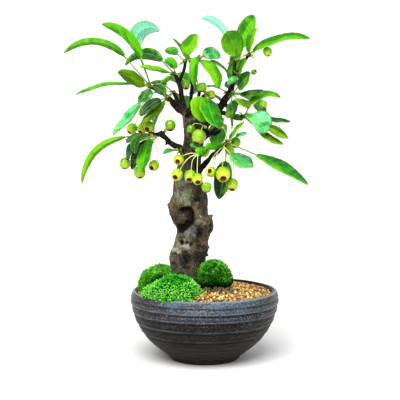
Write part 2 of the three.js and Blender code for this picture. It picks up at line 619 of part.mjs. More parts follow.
for (const item of SHOOTS) {
  addPiece(`leaves_${item.name}`, shoot(item, grownWood), item.tone);
}
for (const item of BUNCHES) {
  addPiece(`fruit_${item.name}`, bunch(item, grownWood), 'fruit');
}

export default object;
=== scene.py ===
import itertools
import math

import bmesh
import bpy
import numpy as np
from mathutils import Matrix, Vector


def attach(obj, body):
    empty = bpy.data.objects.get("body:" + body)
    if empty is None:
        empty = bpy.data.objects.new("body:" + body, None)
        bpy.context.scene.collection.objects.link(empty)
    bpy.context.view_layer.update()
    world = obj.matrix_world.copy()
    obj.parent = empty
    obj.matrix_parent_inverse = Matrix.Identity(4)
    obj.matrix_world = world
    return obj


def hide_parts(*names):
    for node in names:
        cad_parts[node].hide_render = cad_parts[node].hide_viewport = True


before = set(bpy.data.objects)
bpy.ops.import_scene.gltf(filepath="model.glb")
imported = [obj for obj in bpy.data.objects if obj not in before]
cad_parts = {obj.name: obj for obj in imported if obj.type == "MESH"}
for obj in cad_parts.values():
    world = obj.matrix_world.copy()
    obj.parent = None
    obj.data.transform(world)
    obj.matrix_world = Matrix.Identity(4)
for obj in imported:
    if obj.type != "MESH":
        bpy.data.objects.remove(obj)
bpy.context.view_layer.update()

# A small crabapple bonsai in its round turned pot. Shapes are worked out in millimetres, +Z up,
# the front towards -Y, and become metres when their mesh is made. Headings turn anticlockwise seen
# from above, in degrees: 0 is +X, 90 is the back, 270 is the front.
MM = 0.001

# ---- the tree: trunk, limbs and what sits on them ----

# Trunk: [x, y, z, radius].
TRUNK = [
    [-13, 12, 38, 12], [-13, 12, 44, 14.4], [-13, 12, 52, 15.4], [-13, 12, 59, 15.8],
    [-13, 12, 65, 15.4], [-13.5, 11, 71, 14.8], [-13.5, 10.5, 78, 14.5], [-13, 10, 86, 14.4],
    [-12, 9.5, 92, 14], [-11, 9, 98, 13.8], [-9.5, 8, 105, 14.2], [-10.5, 7.5, 112, 14.8],
    [-12.5, 6.5, 119, 15.6], [-13, 6, 126, 15.4], [-12.5, 5, 133, 14.4], [-13.5, 4.5, 140, 13.2],
    [-14.5, 4, 147, 11.6], [-13, 3, 154, 10.4], [-12, 1.5, 162, 9.6], [-10.5, 0.5, 170, 9.1],
    [-9.5, 0, 178, 8.5], [-10, 0, 186, 7.7], [-10.5, 0, 194, 7.4], [-11.5, 1, 200, 7.4],
    [-12, 1.5, 204, 6.4], [-12.5, 2, 207.5, 3.6],
]
# Knobs and hollows: [z, heading, reach up and down, reach round, height].
KNOBS = [
    [127, 186, 6, 26, 2.6], [121, 256, 5, 17, -3.4], [109, 305, 5, 16, 2], [111, 352, 6, 20, 2.2],
    [91, 356, 4, 15, 1.8], [86, 192, 7, 24, 1.8], [144, 20, 5, 22, 1.4], [201, 268, 5, 24, 1.5],
    [99, 235, 6, 20, -1.4], [134, 300, 7, 22, 1.2], [118, 70, 8, 30, 2], [95, 120, 7, 26, 1.6],
]
# Branches: points [x, y, z, radius], each starting well inside the wood that carries it.
LIMBS = [
    [[-14, 1, 200.5, 3], [-22.5, -2, 207.5, 2.3], [-27, -5, 212.5, 1.9], [-31, -8, 216, 1.6]],
    [[-19, 1, 205, 1.8], [-26, 4, 213.5, 1.5], [-35, 3, 220, 1.4], [-43.5, 0, 224.5, 1.3]],
    [[-14.5, 2, 201, 3], [-17, 4, 210, 2.3], [-19, 5, 217, 2.1], [-20, 6, 224, 2.1],
     [-22, 7, 230, 1.9], [-24.5, 8, 235.5, 1.5]],
    [[-21.5, 7, 228, 1.6], [-19, 6, 235, 1.4], [-17, 5, 240, 1.3], [-16, 4, 245.5, 1.2]],
    [[-12, 2, 202, 2.4], [-11, 0, 211, 1.7], [-11, -1, 220, 1.5], [-10, -2, 229, 1.4],
     [-8, -2, 238, 1.4], [-5.5, -2, 246, 1.2]],
    [[-8, 3, 184, 5.5], [-1, 7, 193, 4.6], [7, 9, 202, 3.8], [13, 9, 209, 3.2], [17, 7, 215, 3],
     [20, 5, 220, 2.6], [23, 4, 227, 2], [24, 4, 236, 1.6], [25, 4, 245.5, 1.3]],
    [[24, 4, 232, 1.4], [29, 2, 240, 1.3], [35.5, -2, 250.5, 1.2]],
    [[22.5, 4, 226, 1.5], [26.5, 3, 233.5, 1.2]],
    [[19, 5.5, 217, 2], [22, 0.5, 219.5, 1.4]],
    [[-8, -2, 202, 2.2], [-4, -8, 211, 1.5], [0.5, -13.5, 218.5, 1.3]],
    [[9, 9, 204, 2.6], [18, 3, 203, 2], [26, -3, 201.5, 1.6], [31.5, -6, 201, 1.3]],
    [[-4, -1, 185, 2.7], [3, -7, 187.5, 1.9], [9, -10, 187, 1.7], [13, -12, 190, 1.4]],
    [[0, -5, 187, 1.6], [0.5, -10, 191.5, 1.2]],
    [[-8, -2, 154, 3.3], [-2, -11, 160, 2.5], [4, -15, 167, 2.1], [10, -19, 173, 1.9],
     [15, -21, 177.5, 1.8], [17.5, -22, 179.8, 1.5]],
    [[-14, -3, 171, 4], [-20, -6, 175, 2.9], [-27, -8, 179, 2.3], [-33, -10, 184.5, 1.9],
     [-36, -10, 189.5, 1.6]],
    [[-32.5, -10, 184, 1.8], [-38, -11, 186.5, 1.5], [-43.5, -12, 187, 1.3]],
    [[-9, -5, 156, 2.6], [-7, -15, 165, 1.9], [-4, -21, 174.5, 1.3]],
    [[-15, 3, 205, 2.6], [-22, 14, 214, 2], [-26, 23.5, 220.5, 1.4]],
    [[13, 9, 208, 2.4], [17, 18, 216, 1.9], [20, 28.5, 220.5, 1.4]],
    [[-7, 4, 178, 3], [1, 14, 184, 2.4], [8, 24, 189, 2], [13.5, 31.5, 195.5, 1.4]],
    [[-13, 3, 170.5, 3], [-20, 10, 174.5, 2.3], [-28, 18, 178.5, 1.8], [-35, 24.5, 186, 1.4]],
    [[-10, 6, 203, 2.2], [-6, 17, 213, 1.7], [-4, 25.5, 223.5, 1.3]],
]
# Lumps that swell from the trunk: [x, y, z, radius].
LUMPS = [
    [-28.6, 6, 127.5, 2.2], [-28, 6, 120, 1.8], [2.6, 3, 113.5, 4.2], [2.4, 3, 108.5, 4],
    [-17.4, -5.6, 118.2, 4.4], [-0.4, -4, 111.2, 4], [-25.4, 3, 89.1, 3], [-21, -1.2, 87.7, 2.6],
    [-26.2, 4, 80.5, 3.2], [-11.4, -1.6, 76.5, 2.6], [-6, -6.6, 113, 2.6], [-2, -5.4, 114.3, 2.6],
    [-15, -8.4, 134, 3], [-4, -4.5, 128, 2.6], [-20, -5, 141, 2.2], [-7, -4, 100, 2.4],
    [-18, -2, 104, 2.6], [-1, 22, 122, 4], [-20, 18, 108, 3.6], [-10, 23, 90, 3.4],
]
# Short dead spurs: two ends [x, y, z, radius] each.
SPURS = [
    [[0, 8, 90.5, 2.2], [4.6, 8, 92.2, 0.7]], [[-1, 8, 86.5, 2], [3, 8, 84.6, 0.6]],
    [[-27, 6, 128, 2], [-31.2, 6, 127.4, 0.9]], [[-26, 6, 120.5, 1.6], [-29.8, 6, 119.6, 0.7]],
    [[4, 2, 118, 2], [6.6, 1, 119.6, 0.8]], [[-23.5, -1, 208.8, 1.8], [-24.8, -3.6, 212.6, 1]],
    [[15, 7.5, 211, 1.6], [19.5, 6.5, 209.8, 0.9]], [[-30, -9.4, 181, 1.5], [-31.8, -9.8, 177.8, 0.8]],
]
# Hollows seen from the front: [x, z, half width, half height, depth]; each is also darkened with
# painted shade.
DENTS = [
    [-20.8, 124, 2.6, 1.8, 0.9], [-17.6, 124.8, 3, 1.8, 2], [-13.8, 124.6, 3, 2.2, 3.2],
    [-10.8, 121.6, 2.6, 3, 3.4], [-10.6, 117.2, 2.6, 3, 3], [-12.4, 113.4, 2.8, 2.6, 2.4],
    [-15.6, 110.6, 3, 2.6, 2], [-18.6, 108.6, 3, 3, 2.4], [-21.8, 109, 2.4, 3.6, 2.2],
    [-19.5, 97, 1.3, 1.5, 2.2], [-14.9, 97.1, 1.1, 1.1, 1.8], [-11.3, 95.3, 1.2, 1.2, 1.8],
    [-4.6, 105.5, 3, 4.5, 1.2], [-9, 84, 4.5, 4, 1], [-15.5, 82, 2.4, 4.5, 1.2],
    [-6.5, 136, 2.4, 6, 0.9], [-12, 202.4, 2.6, 2.6, 1.4],
]
# Patches of the bark as seen from the front: [tint, x, z, half width, half height, share]. The dark
# ones by the hollows, under the overhanging burl and at the foot are painted shade over dark bark.
BARK_PATCHES = [
    ["pale", -17.4, 135.5, 7.8, 6.4, 0.9], ["pale", -23.2, 137.2, 3.3, 4.1, 0.4],
    ["ochre", -25.8, 128.1, 3.6, 4.7, 0.6], ["pale", -14.1, 128.7, 3.9, 2.7, 0.5],
    ["umber", -1.7, 132.1, 5.2, 11.5, 0.8], ["umber", -5.6, 142.3, 5.9, 4.1, 0.7],
    ["ochre", -8.2, 124.7, 2.6, 6.8, 0.7], ["dark", -0.4, 122.6, 3.3, 2.7, 0.5],
    ["dark", -4.3, 134.2, 2, 3.4, 0.5], ["dark", 0.9, 136.2, 2.6, 2.7, 0.4],
    ["white", -3.6, 120.1, 0.8, 0.8, 1], ["white", -6.2, 130, 1.6, 0.7, 0.7],
    ["umber", -18, 118.5, 5, 5, 0.75], ["dark", -20.3, 111.1, 3.9, 4.1, 0.9],
    ["dark", -25.2, 119.2, 2, 4.1, 0.3], ["pale", -4.3, 114.2, 5.2, 1.8, 0.6],
    ["ochre", 0.3, 115.8, 3.3, 2.7, 0.5], ["dark", 5.2, 111.1, 2.2, 5.4, 0.85],
    ["slate", -12.1, 105.7, 5.9, 5.1, 0.9], ["umber", -3, 107.7, 4.6, 4.1, 0.7],
    ["dark", -0.4, 110.8, 1.7, 1.5, 0.8], ["dark", -5.6, 101.6, 3.3, 2.7, 0.5],
    ["white", -16, 94.1, 5.2, 1.5, 0.5], ["white", -17.4, 99.2, 3.3, 0.9, 0.35],
    ["ochre", 0.3, 100.3, 3.3, 6.1, 0.7], ["pale", -22.6, 96.2, 3.3, 2.7, 0.5],
    ["white", -24.9, 91.4, 2.9, 3.4, 0.55], ["white", -20.9, 89.4, 2, 2, 0.4],
    ["dark", -16.7, 86.7, 5.2, 4.7, 0.75], ["umber", -8.2, 90.8, 3.9, 4.1, 0.6],
    ["umber", -3, 88, 5.9, 7.5, 0.8], ["dark", 0.9, 90.8, 2.6, 4.1, 0.5],
    ["ochre", -25.2, 84, 3.3, 4.1, 0.4], ["dark", -16.7, 77.9, 3.9, 4.7, 0.7],
    ["rose", -12.1, 76.5, 2.2, 4.1, 0.6], ["rose", -23.9, 79.9, 2.6, 4.1, 0.35],
    ["dark", -16.5, 82, 5.5, 7, 0.7], ["umber", -5, 80, 8, 9, 0.7], ["dark", -1, 84, 4, 7, 0.6],
    ["dark", -4.3, 81.3, 3.9, 4.1, 0.6], ["slate", -18.7, 147.7, 4.6, 3.4, 0.5],
    ["umber", -12.1, 147.7, 3.9, 4.1, 0.5], ["slate", -12, 197.8, 4.6, 1.5, 0.8],
    ["slate", -16.4, 201, 1.3, 3.2, 0.6], ["slate", -8, 200, 1.3, 2.6, 0.7],
    ["dark", -12, 203.4, 2.6, 3, 0.7], ["umber", -8, 192, 3.5, 5, 0.6],
    ["ochre", -13, 190, 2.6, 4, 0.35],
]
BARK_TINTS = {
    "pale": (142, 147, 122), "ochre": (128, 108, 66), "umber": (64, 48, 40), "dark": (30, 23, 21),
    "slate": (124, 126, 124), "white": (186, 186, 172), "rose": (104, 70, 62),
    "brown": (70, 62, 52), "grey": (120, 116, 98), "warm": (112, 92, 60), "twig": (22, 15, 16),
}
SCAR = [-12, -6.4, 202.4]  # middle of the ring of bark round a healed cut
SCAR_RADIUS = 4.2
SCAR_THICKNESS = 1.3  # radius of the ring itself
# Ripples of the bark: [waves round the trunk, millimetres up for each radian, height].
RIPPLES = [[3, 7, 0.5], [5, -11, 0.45]]
SMOOTH_BELOW = 60  # the buried stub has no bark relief
FLARE_LOBES = 5  # root ridges at the foot
FLARE_TOP = 92
FLARE_HEIGHT = 5.1  # at the underside of the pot, where the ridges would end
TRUNK_SIDES = 72
LIMB_SIDES = 16
SPUR_SIDES = 10
CURVE_STEPS = 6  # between two given points of a trunk or limb
BARK_CELL = 0.58  # cell of the even mesh that joins all the wood
TWIG_FROM = 3.2  # distance from the trunk's skin at which bark starts to turn into a twig's
TWIG_ABOVE = 204  # height at which it does so anywhere

# Leaves: [heading, rise, stalk, blade, droop, width, roll, tone].
SHOOTS = {
    "upper_left": ([-44, 0, 225], [
        [181, 49, 33, 55, 92, 12, -37, "leafy"], [207, 70, 25, 45, 65, 11, -71, "leafy"],
        [225, 19, 7, 30, 3, 14, -69, "olive"], [208, 9, 9, 58, 34, 12, -12, "leafy"],
        [205, -66, 2, 15, -45, 13, -30, "jade"], [235, -40, 20, 42, -6, 13, 1, "mint"],
        [-15, 111, 34, 33, 155, 17, -40, "pale"]]),
    "inner_left": ([-31, -8, 216], [
        [170, 62, 3, 13, 55, 9, -75, "dark"], [205, -16, 5, 23, 40, 10, -50, "deep"],
        [210, -50, 4, 27, -20, 11, -25, "olive"]]),
    "lower_left": ([-44, -12, 187], [
        [191, -7, 21, 55, 79, 10, -33, "lime"], [200, -28, 11, 20, 65, 12, -15, "deep"],
        [235, 2, 9, 23, 115, 12, 10, "dark"], [257, -42, 7, 32, 16, 18, 32, "fresh"]]),
    "limb_left": ([-20, -9, 173], [[220, 10, 5, 13, 45, 8, -15, "jade"]]),
    "leader": ([-25, 8, 236], [
        [219, 12, 6, 29, 9, 9, -39, "lime"], [189, 91, 4, 12, 114, 11, -54, "fresh"],
        [151, 42, 16, 41, 93, 12, -59, "dark"], [180, -38, 4, 10, -10, 9, -30, "lime"]]),
    "leader_tip": ([-16, 4, 246], [
        [16, 79, 5, 20, 36, 17, 35, "lime"], [138, 35, 11, 15, 37, 9, -47, "mid"]]),
    "middle": ([-5, -2, 247], [
        [261, 14, 6, 37, 141, 10, 27, "leafy"], [315, -16, 3, 31, 65, 15, 7, "lime"],
        [45, 32, 6, 22, 68, 11, 82, "mint"], [36, -4, 12, 27, 61, 7, 43, "dark"]]),
    "top": ([25, 4, 246], [
        [134, 66, 19, 40, 68, 8, 84, "pale"], [244, 79, 4, 27, 64, 19, 34, "lime"],
        [57, 60, 13, 38, 23, 16, 61, "fresh"]]),
    "upper_right": ([36, -2, 251], [
        [329, 92, 2, 21, 46, 12, 58, "lime"], [351, 38, 4, 49, 51, 16, 30, "leafy"]]),
    "right_shoot": ([27, 3, 234.5], [
        [295, 52, 2, 17, 19, 10, 84, "lime"], [238, -24, 2, 15, 8, 7, -19, "jade"]]),
    "right": ([22, 0, 219], [
        [310, 36, 9, 19, -6, 14, 80, "dark"], [335, 0, 7, 21, -18, 7, 54, "deep"],
        [290, -14, 15, 22, 15, 12, 0, "olive"], [271, -50, 7, 26, -47, 15, 44, "dark"]]),
    "front": ([1, -14, 219], [
        [255, -54, 4, 22, 12, 25, -34, "lime"], [285, -53, 4, 40, -35, 20, -13, "mid"]]),
    "outer_right": ([32, -6, 201], [
        [9, 61, 11, 29, 96, 8, 50, "leafy"], [205, -10, 2, 9, -10, 12, -30, "lime"],
        [307, 13, 8, 26, 122, 24, 6, "mint"], [322, -19, 25, 21, 13, 8, 81, "olive"],
        [324, -37, 18, 26, -23, 7, 43, "olive"], [29, -6, 20, 26, -3, 9, 31, "dark"]]),
    "lower_right": ([18, -22, 180], [
        [355, 59, 3, 19, 17, 10, 21, "lime"], [354, 34, 8, 10, 32, 8, 27, "mint"],
        [328, -54, 10, 21, -46, 22, 16, "jade"], [331, -19, 27, 50, 15, 16, 19, "mid"],
        [225, -7, 6, 19, 7, 11, -25, "fresh"], [120, -79, 15, 33, -13, 16, 16, "deep"]]),
    "lower_front": ([-3, -22, 175], [
        [185, 48, 2, 8, 80, 9, -35, "jade"], [272, 14, 7, 10, 160, 11, 10, "fresh"]]),
    "back_left": ([-26, 24, 221], [
        [130, 26, 13, 27, 45, 12, -15, "dark"], [70, -14, 13, 40, 35, 18, -10, "mid"],
        [120, -22, 13, 34, 45, 15, -30, "mid"]]),
    "back_right": ([20, 29, 221], [
        [130, 18, 13, 40, 55, 18, 0, "fresh"], [40, -2, 12, 39, 65, 17, -5, "mid"],
        [45, 74, 11, 39, 15, 17, -10, "mid"], [80, 22, 10, 29, 10, 13, -5, "dark"]]),
    "back_low_right": ([14, 32, 196], [
        [95, -10, 9, 38, 65, 17, 0, "mid"], [145, -30, 11, 37, 35, 16, -30, "dark"],
        [100, 30, 11, 30, 25, 13, -30, "fresh"]]),
    "back_low_left": ([-35, 25, 186.5], [
        [130, -6, 12, 41, 10, 18, 15, "dark"], [160, -30, 10, 34, 45, 15, 30, "deep"]]),
    "back_top": ([-4, 26, 224], [
        [160, 70, 12, 37, 25, 16, 30, "mid"], [25, -22, 12, 38, 70, 17, 20, "dark"],
        [125, 22, 13, 38, 25, 17, -30, "mid"]]),
}
SHOOT_SLOTS = {"inner_left": "dark", "right": "dark", "back_left": "dark", "back_low_left": "dark",
               "leader": "lime", "leader_tip": "lime", "right_shoot": "lime"}

# Bunches of fruit: [heading, rise, stalk, droop, diameter, right, down, green]: right and down say
# where the eye shows from the front, in radii from the middle of the fruit.
BUNCHES = {
    "upper_left": ([-40, 3.8, 221], [[177, -19, 35, 68, 8.8, -0.5, 0.72, 0.3]]),
    "inner_left": ([-29.5, -8, 211.8], [
        [0, -40, 16, 76, 8.8, 0.05, 0.9, 1.0], [184, -9, 23, 73, 9.2, -0.36, 0.42, 0.5],
        [158, -1, 30, 72, 8.6, -0.35, 0.75, 0.1]]),
    "lower_left": ([-43, -13, 183], [
        [177, -2, 28, 72, 9, -0.1, 0.95, 0.45], [174, -27, 27, 75, 10, 0.1, 0.93, 0.5],
        [36, -41, 20, 75, 8.8, -0.42, 0.42, 0.0]]),
    "middle": ([0.5, -11, 192.5], [
        [248, 23, 13, 78, 11.2, -0.35, 0.9, 0.45], [202, 41, 11, 80, 7, -0.3, 0.9, 1.0]]),
    "lower_front": ([-5.5, -22, 170.5], [
        [180, 34, 14, 80, 8.8, -0.17, 0.28, 0.1], [203, 3, 22, 75, 9.6, -0.28, 0.4, 0.0],
        [197, -21, 16, 79, 9.6, -0.15, 0.62, 0.1], [268, -19, 19, 79, 9, 0.05, 0.56, 0.0]]),
    "lower_right": ([15, -24, 177], [
        [221, -20, 36, 74, 8, 0.1, 0.96, 0.8], [196, -17, 21, 78, 8.6, -0.28, -0.2, 0.0],
        [265, -25, 20, 77, 11.8, 0.02, 0.55, 0.0], [16, -35, 30, 73, 9.6, -0.1, 0.82, 0.3]]),
    "lower_right_top": ([14.3, -18.8, 179.6], [[14, 56, 9, 83, 8, -0.2, 0.85, 0.8]]),
    "front": ([3, -15, 222], [
        [130, 76, 6, 84, 7.6, -0.1, 0.95, 0.6], [70, 28, 5, 81, 6.8, 0.3, 0.9, 0.5]]),
    "upper_right": ([38.4, 0.8, 250], [[343, 66, 12, 84, 7.4, 0.2, 0.95, 0.2]]),
    "outer_right": ([35, -7, 203], [[4, 82, 14, 86, 6.4, 0.1, 0.95, 0.7]]),
    "leader": ([-22, 10, 233], [[23, 7, 7, 76, 7, 0.2, 0.9, 0.9]]),
    "right_shoot": ([27, 4, 227], [[0, 85, 17, 86, 4.6, 0.5, -0.4, 1.0]]),
    "back_low_right": ([15, 34, 192], [
        [60, -20, 22, 62, 9, 0.3, 0.9, 0.5], [150, -10, 26, 72, 9.4, -0.4, 0.9, 0.2]]),
}

# ---- the pot and what covers the soil ----

POT_OUTSIDE = [
    [28, 0], [29.8, 2], [29.7, 3.2], [36.2, 7.4], [37, 8.1], [45.4, 15.3], [46.4, 16],
    [51.1, 22.4], [52.1, 23.1], [55.9, 30.3], [56.8, 31.1], [58.9, 38.6], [60, 39.5],
    [60.5, 45.6], [61.4, 46.5], [61.5, 50.6], [60.8, 51.5], [61.3, 52.6], [60.2, 56],
    [58.4, 57.6], [56.4, 57.2],
]
POT_INSIDE = [[56.6, 50], [55.8, 39], [50.5, 26.5], [41.5, 15.5], [26, 6]]
RIM_TOP = 57.6
RIM_FOOT = 56  # above it the rim has no grooves
FOOT_RADIUS = 28  # of the flat underside
FLOOR_TOP = 6
DRAIN_RING = 15  # distance of each drain hole from the axis
DRAIN_RADIUS = 4.5
DRAIN_HOLES = 3
DRAIN_SIDES = 32
POT_SIDES = 192
POT_STEP = 0.3  # along the outer half section
# Grooves left by turning: [height, depth, half width].
GROOVES = [
    [51.2, 0.55, 0.8], [45.7, 0.95, 1.0], [38.9, 1.0, 1.1], [34.6, 0.3, 0.6], [30.4, 0.9, 1.1],
    [26.4, 0.3, 0.6], [22.6, 0.7, 0.9], [15.7, 0.6, 0.8], [7.8, 0.6, 0.6],
]
INNER_RADIUS = 56.2  # room inside the wall
SOIL_MIDDLE = 58  # soil level in the middle
SOIL_WALL = 51.5  # soil level at the wall
SOIL_REACH = 56  # radius at which that level is reached

# Gravel: [pitch of the grains, lift over the soil, share left out] of each layer.
GRAVEL_LAYERS = [[2.8, 1.5, 0.0], [2.9, 2.9, 0.27]]
GRAVEL_REACH = 58  # half width of the field that the grains are dealt over
GRAVEL_SEED = 21
GRAVEL_JITTER = 0.45  # of the pitch, to each side
GRAVEL_ROWS = 0.87  # of the pitch, from row to row
GRAIN_SHAPES = 14
GRAIN_SIZE = (1.05, 2.1)  # radius before the stone is cut
BED_LIFT = 1.3  # of the dark bed under the grains over the soil
BED_RINGS = 60
BED_SIDES = 96
BED_FOOT = 0.35  # height of its flat underside over the level of the soil at the wall
GRAIN_OFF_WOOD = 0.8  # room between the middle of a grain and the trunk
GRAIN_IN_MOSS = 0.93  # of a cushion's half axes: within it no grain shows
# The dark patch of painted shadow among the grains at the foot of the right-hand cushion: its middle
# and half widths, x and y.
MOSS_SHADOW_AT = (8, -14)
MOSS_SHADOW_REACH = (21, 13)

# Moss cushions: middle, half axes and unevenness; the height above which tufts are fine and dark;
# dips in the mound, [way x, y, z, reach, depth]; layers of tufts, [number on half a ball, needles,
# length, width, spread, least light, most light]; colours of the painted shade in the hollows, the
# needles and their lit tips, which are painted light; how dark the patches of shade are, and how
# dark the painted shadow at the foot is.
CUSHIONS = {
    "moss_right": dict(at=[7.5, -1, 67], half=[15.2, 12.5, 15.2], lump=0.06, seed=3, fine_above=200,
                       dips=[[0.9, -0.2, 0.6, 0.4, 0.05]],
                       layers=[[900, 7, 2.6, 0.5, 40, 0.0, 0.35], [330, 6, 3.7, 0.85, 30, 0.3, 1.0]],
                       deep=(0, 34, 0), leafy=(6, 138, 4), tip=(170, 250, 110), shade=0.7, cushion_foot_shade=0.97),
    "moss_left": dict(at=[-38, 9, 58], half=[18.5, 27, 19], lump=0.11, seed=7, fine_above=200,
                      dips=[[0.55, -0.2, 0.75, 0.25, 0.05]],
                      layers=[[1300, 7, 2.4, 0.5, 46, 0.0, 0.35], [620, 6, 3.2, 0.75, 44, 0.25, 0.95]],
                      deep=(0, 56, 0), leafy=(18, 168, 2), tip=(196, 255, 120), shade=0.45, cushion_foot_shade=0.1),
    "moss_front": dict(at=[-27, -25, 55], half=[25, 29, 19.5], lump=0.1, seed=5, fine_above=67,
                       dips=[[-0.75, 0.1, 0.75, 0.55, 0.24]],
                       layers=[[1100, 7, 2.2, 0.55, 60, 0.0, 0.35], [400, 7, 3.8, 1.3, 66, 0.45, 1.0]],
                       deep=(0, 66, 0), leafy=(2, 196, 2), tip=(196, 255, 140), shade=0.12, cushion_foot_shade=0.1),
}
TUFT_ROOM = 2.5  # how far tufts stand out of the mound they grow on
TUFT_KINDS = 8
TUFT_OFF_WOOD = 0.5  # room between the root of a tuft and the trunk
TUFT_IN_MOSS = 0.97  # of another cushion's half axes: within it no tuft grows
MOSS_SPREAD = 64  # radius beyond which no tuft grows
MOSS_OVER_RIM = 58.6  # radius that moss keeps to where it stands over the rim
MOSS_UNDER_SOIL = 1.5  # how deep in the soil its foot stands
MOSS_CRUMB = 1.6  # size of the finest lumps of the mound
FINE_TUFT = 0.7  # size and light of the fine, dark tufts against the others
FINE_LIGHT = 0.4

# ---- camera and light, in metres ----

CAMERA_AT = (-0.00385, -0.85, 0.207)
CAMERA_AIM = (-0.00385, 0, 0.1321)
LENS = 92.9
# Soft suns: name, where the light comes from, strength, width in degrees, colour.
SUNS = [
    ["key", (-0.22, -0.82, 1.05), 3.3, 44, (1.0, 0.985, 0.95)],
    ["fill", (0.7, -0.2, 0.8), 0.5, 60, (1.0, 1.0, 1.0)],
]
SKY_COLOUR = (0.46, 0.47, 0.48)
SKY_FROM, SKY_TO = 0.12, 0.45  # heights between which the white horizon turns into the sky
FLOOR_GREYS = 0.78, 0.8
FLOOR_RADIUS = 12
FLOOR_SIDES = 96

# ---- sums ----

HASH_FACTORS = np.array([73856093, 19349663, 83492791])  # large primes, one for each axis


def lattice(cell, seed):
    """A seeded value between -1 and 1 for each whole-numbered place."""
    mixed = cell * HASH_FACTORS
    mixed = mixed[..., 0] ^ mixed[..., 1] ^ mixed[..., 2]
    mixed = (mixed ^ (seed * 97561 + 12345)) & 0x7FFFFFFF
    mixed = ((mixed ^ (mixed >> 13)) * 1274126177) & 0x7FFFFFFF
    return ((mixed ^ (mixed >> 16)) % 65536) / 32767.5 - 1


def bumps(points, size, seed=0):
    """Smooth seeded relief between -1 and 1, whose bumps are about that size."""
    place = np.asarray(points) / size
    cell = np.floor(place).astype(np.int64)
    part = place - cell
    part = part * part * (3 - 2 * part)
    total = np.zeros(len(place))
    for corner in np.ndindex(2, 2, 2):
        weight = np.prod(np.where(np.array(corner) == 1, part, 1 - part), axis=1)
        total += weight * lattice(cell + np.array(corner), seed)
    return total


def layered(points, size, layers, seed=0):
    """Bumps on bumps, each layer half the size and half the height of the last."""
    return sum(bumps(points, size / 2**i, seed + i) * 0.5**i for i in range(layers))


def bell(away, reach):
    """1 in the middle of a rise, falling smoothly to nothing beyond its reach."""
    return np.exp(-((away / reach) ** 2))


def unit(vectors):
    """The same directions with a length of 1."""
    return vectors / np.linalg.norm(vectors, axis=-1, keepdims=True)


def turns(count):
    """The angles of a full turn in even steps."""
    return np.arange(count) * 2 * np.pi / count


def linear(red, green, blue):
    """An sRGB colour of 0 to 255 as the linear values that shaders take."""
    values = np.array([red, green, blue]) / 255
    return np.where(values <= 0.04045, values / 12.92, ((values + 0.055) / 1.055) ** 2.4)


def direction(heading, slope):
    """The way along a stem of a given heading at a slope angle, in radians."""
    slope = np.asarray(slope, float)
    return np.stack([np.cos(slope) * math.cos(heading), np.cos(slope) * math.sin(heading),
                     np.sin(slope)], axis=-1)


def bent_to(start, heading, rise, droop, length):
    """Where an even bend from one slope angle down by the droop has come to."""
    droop = np.asarray(droop, float)
    bend = np.where(np.abs(droop) < 1e-4, 1e-4, droop)
    out = length / bend * (math.sin(rise) - np.sin(rise - bend))
    up = length / bend * (np.cos(rise - bend) - math.cos(rise))
    return np.asarray(start) + np.stack(
        [out * math.cos(heading), out * math.sin(heading), up], axis=-1)


def spline(rows, steps):
    """Rows of numbers with a smooth curve through them, that many steps between each two."""
    rows = np.asarray(rows, float)
    padded = np.vstack([2 * rows[0] - rows[1], rows, 2 * rows[-1] - rows[-2]])
    t = np.linspace(0, 1, steps, endpoint=False)[:, None]
    out = []
    for a, b, c, d in zip(padded, padded[1:], padded[2:], padded[3:]):
        out.append(0.5 * (2 * b + (c - a) * t + (2 * a - 5 * b + 4 * c - d) * t**2
                          + (3 * b - a - 3 * c + d) * t**3))
    return np.vstack([*out, rows[-1:]])


def curve(start, lean, pull, end, share):
    """A smooth curve that leaves the start towards the lean and meets the end from the pull."""
    t = share[:, None]
    return ((1 - t) ** 3 * start + 3 * (1 - t) ** 2 * t * lean + 3 * (1 - t) * t**2 * pull
            + t**3 * end)


# ---- bodies ----


def loft(rings):
    """Points and faces of a closed skin over rings of points that turn anticlockwise."""
    rings = np.asarray(rings, float)
    count, sides = rings.shape[:2]
    row = np.arange(count - 1)[:, None] * sides
    here = np.arange(sides)[None, :]
    following = (here + 1) % sides
    quads = np.stack([row + here, row + following, row + following + sides, row + here + sides],
                     axis=-1).reshape(-1, 4)
    last = (count - 1) * sides
    caps = [np.arange(sides)[::-1][None, :], (last + np.arange(sides))[None, :]]
    return rings.reshape(-1, 3), [quads, *caps]


def tube(rows, sides):
    """A round limb through rows of [x, y, z, radius]."""
    rows = np.asarray(rows, float)
    turn = turns(sides)
    side = np.array([0.0, 1.0, 0.0])
    rings = []
    for row, tangent in zip(rows, unit(np.gradient(rows[:, :3], axis=0))):
        side = unit(side - tangent * side.dot(tangent))
        other = np.cross(tangent, side)
        rings.append(row[:3] + row[3] * (np.cos(turn)[:, None] * side
                                         + np.sin(turn)[:, None] * other))
    return loft(rings)


def ball(radius, at, subdivisions):
    """Points and faces of a round ball."""
    shape = bmesh.new()
    bmesh.ops.create_icosphere(shape, subdivisions=subdivisions, radius=1)
    points = np.array([vertex.co for vertex in shape.verts])
    faces = np.array([[vertex.index for vertex in face.verts] for face in shape.faces])
    shape.free()
    return points * radius + np.asarray(at), [faces]


def give_values(mesh, key, value):
    """Stores a number or three numbers at each point of the mesh, for its material to read."""
    kind, field = ("FLOAT", "value") if value.ndim == 1 else ("FLOAT_VECTOR", "vector")
    attribute = mesh.attributes.new(key, kind, "POINT")
    attribute.data.foreach_set(field, np.ascontiguousarray(value, np.float32).ravel())


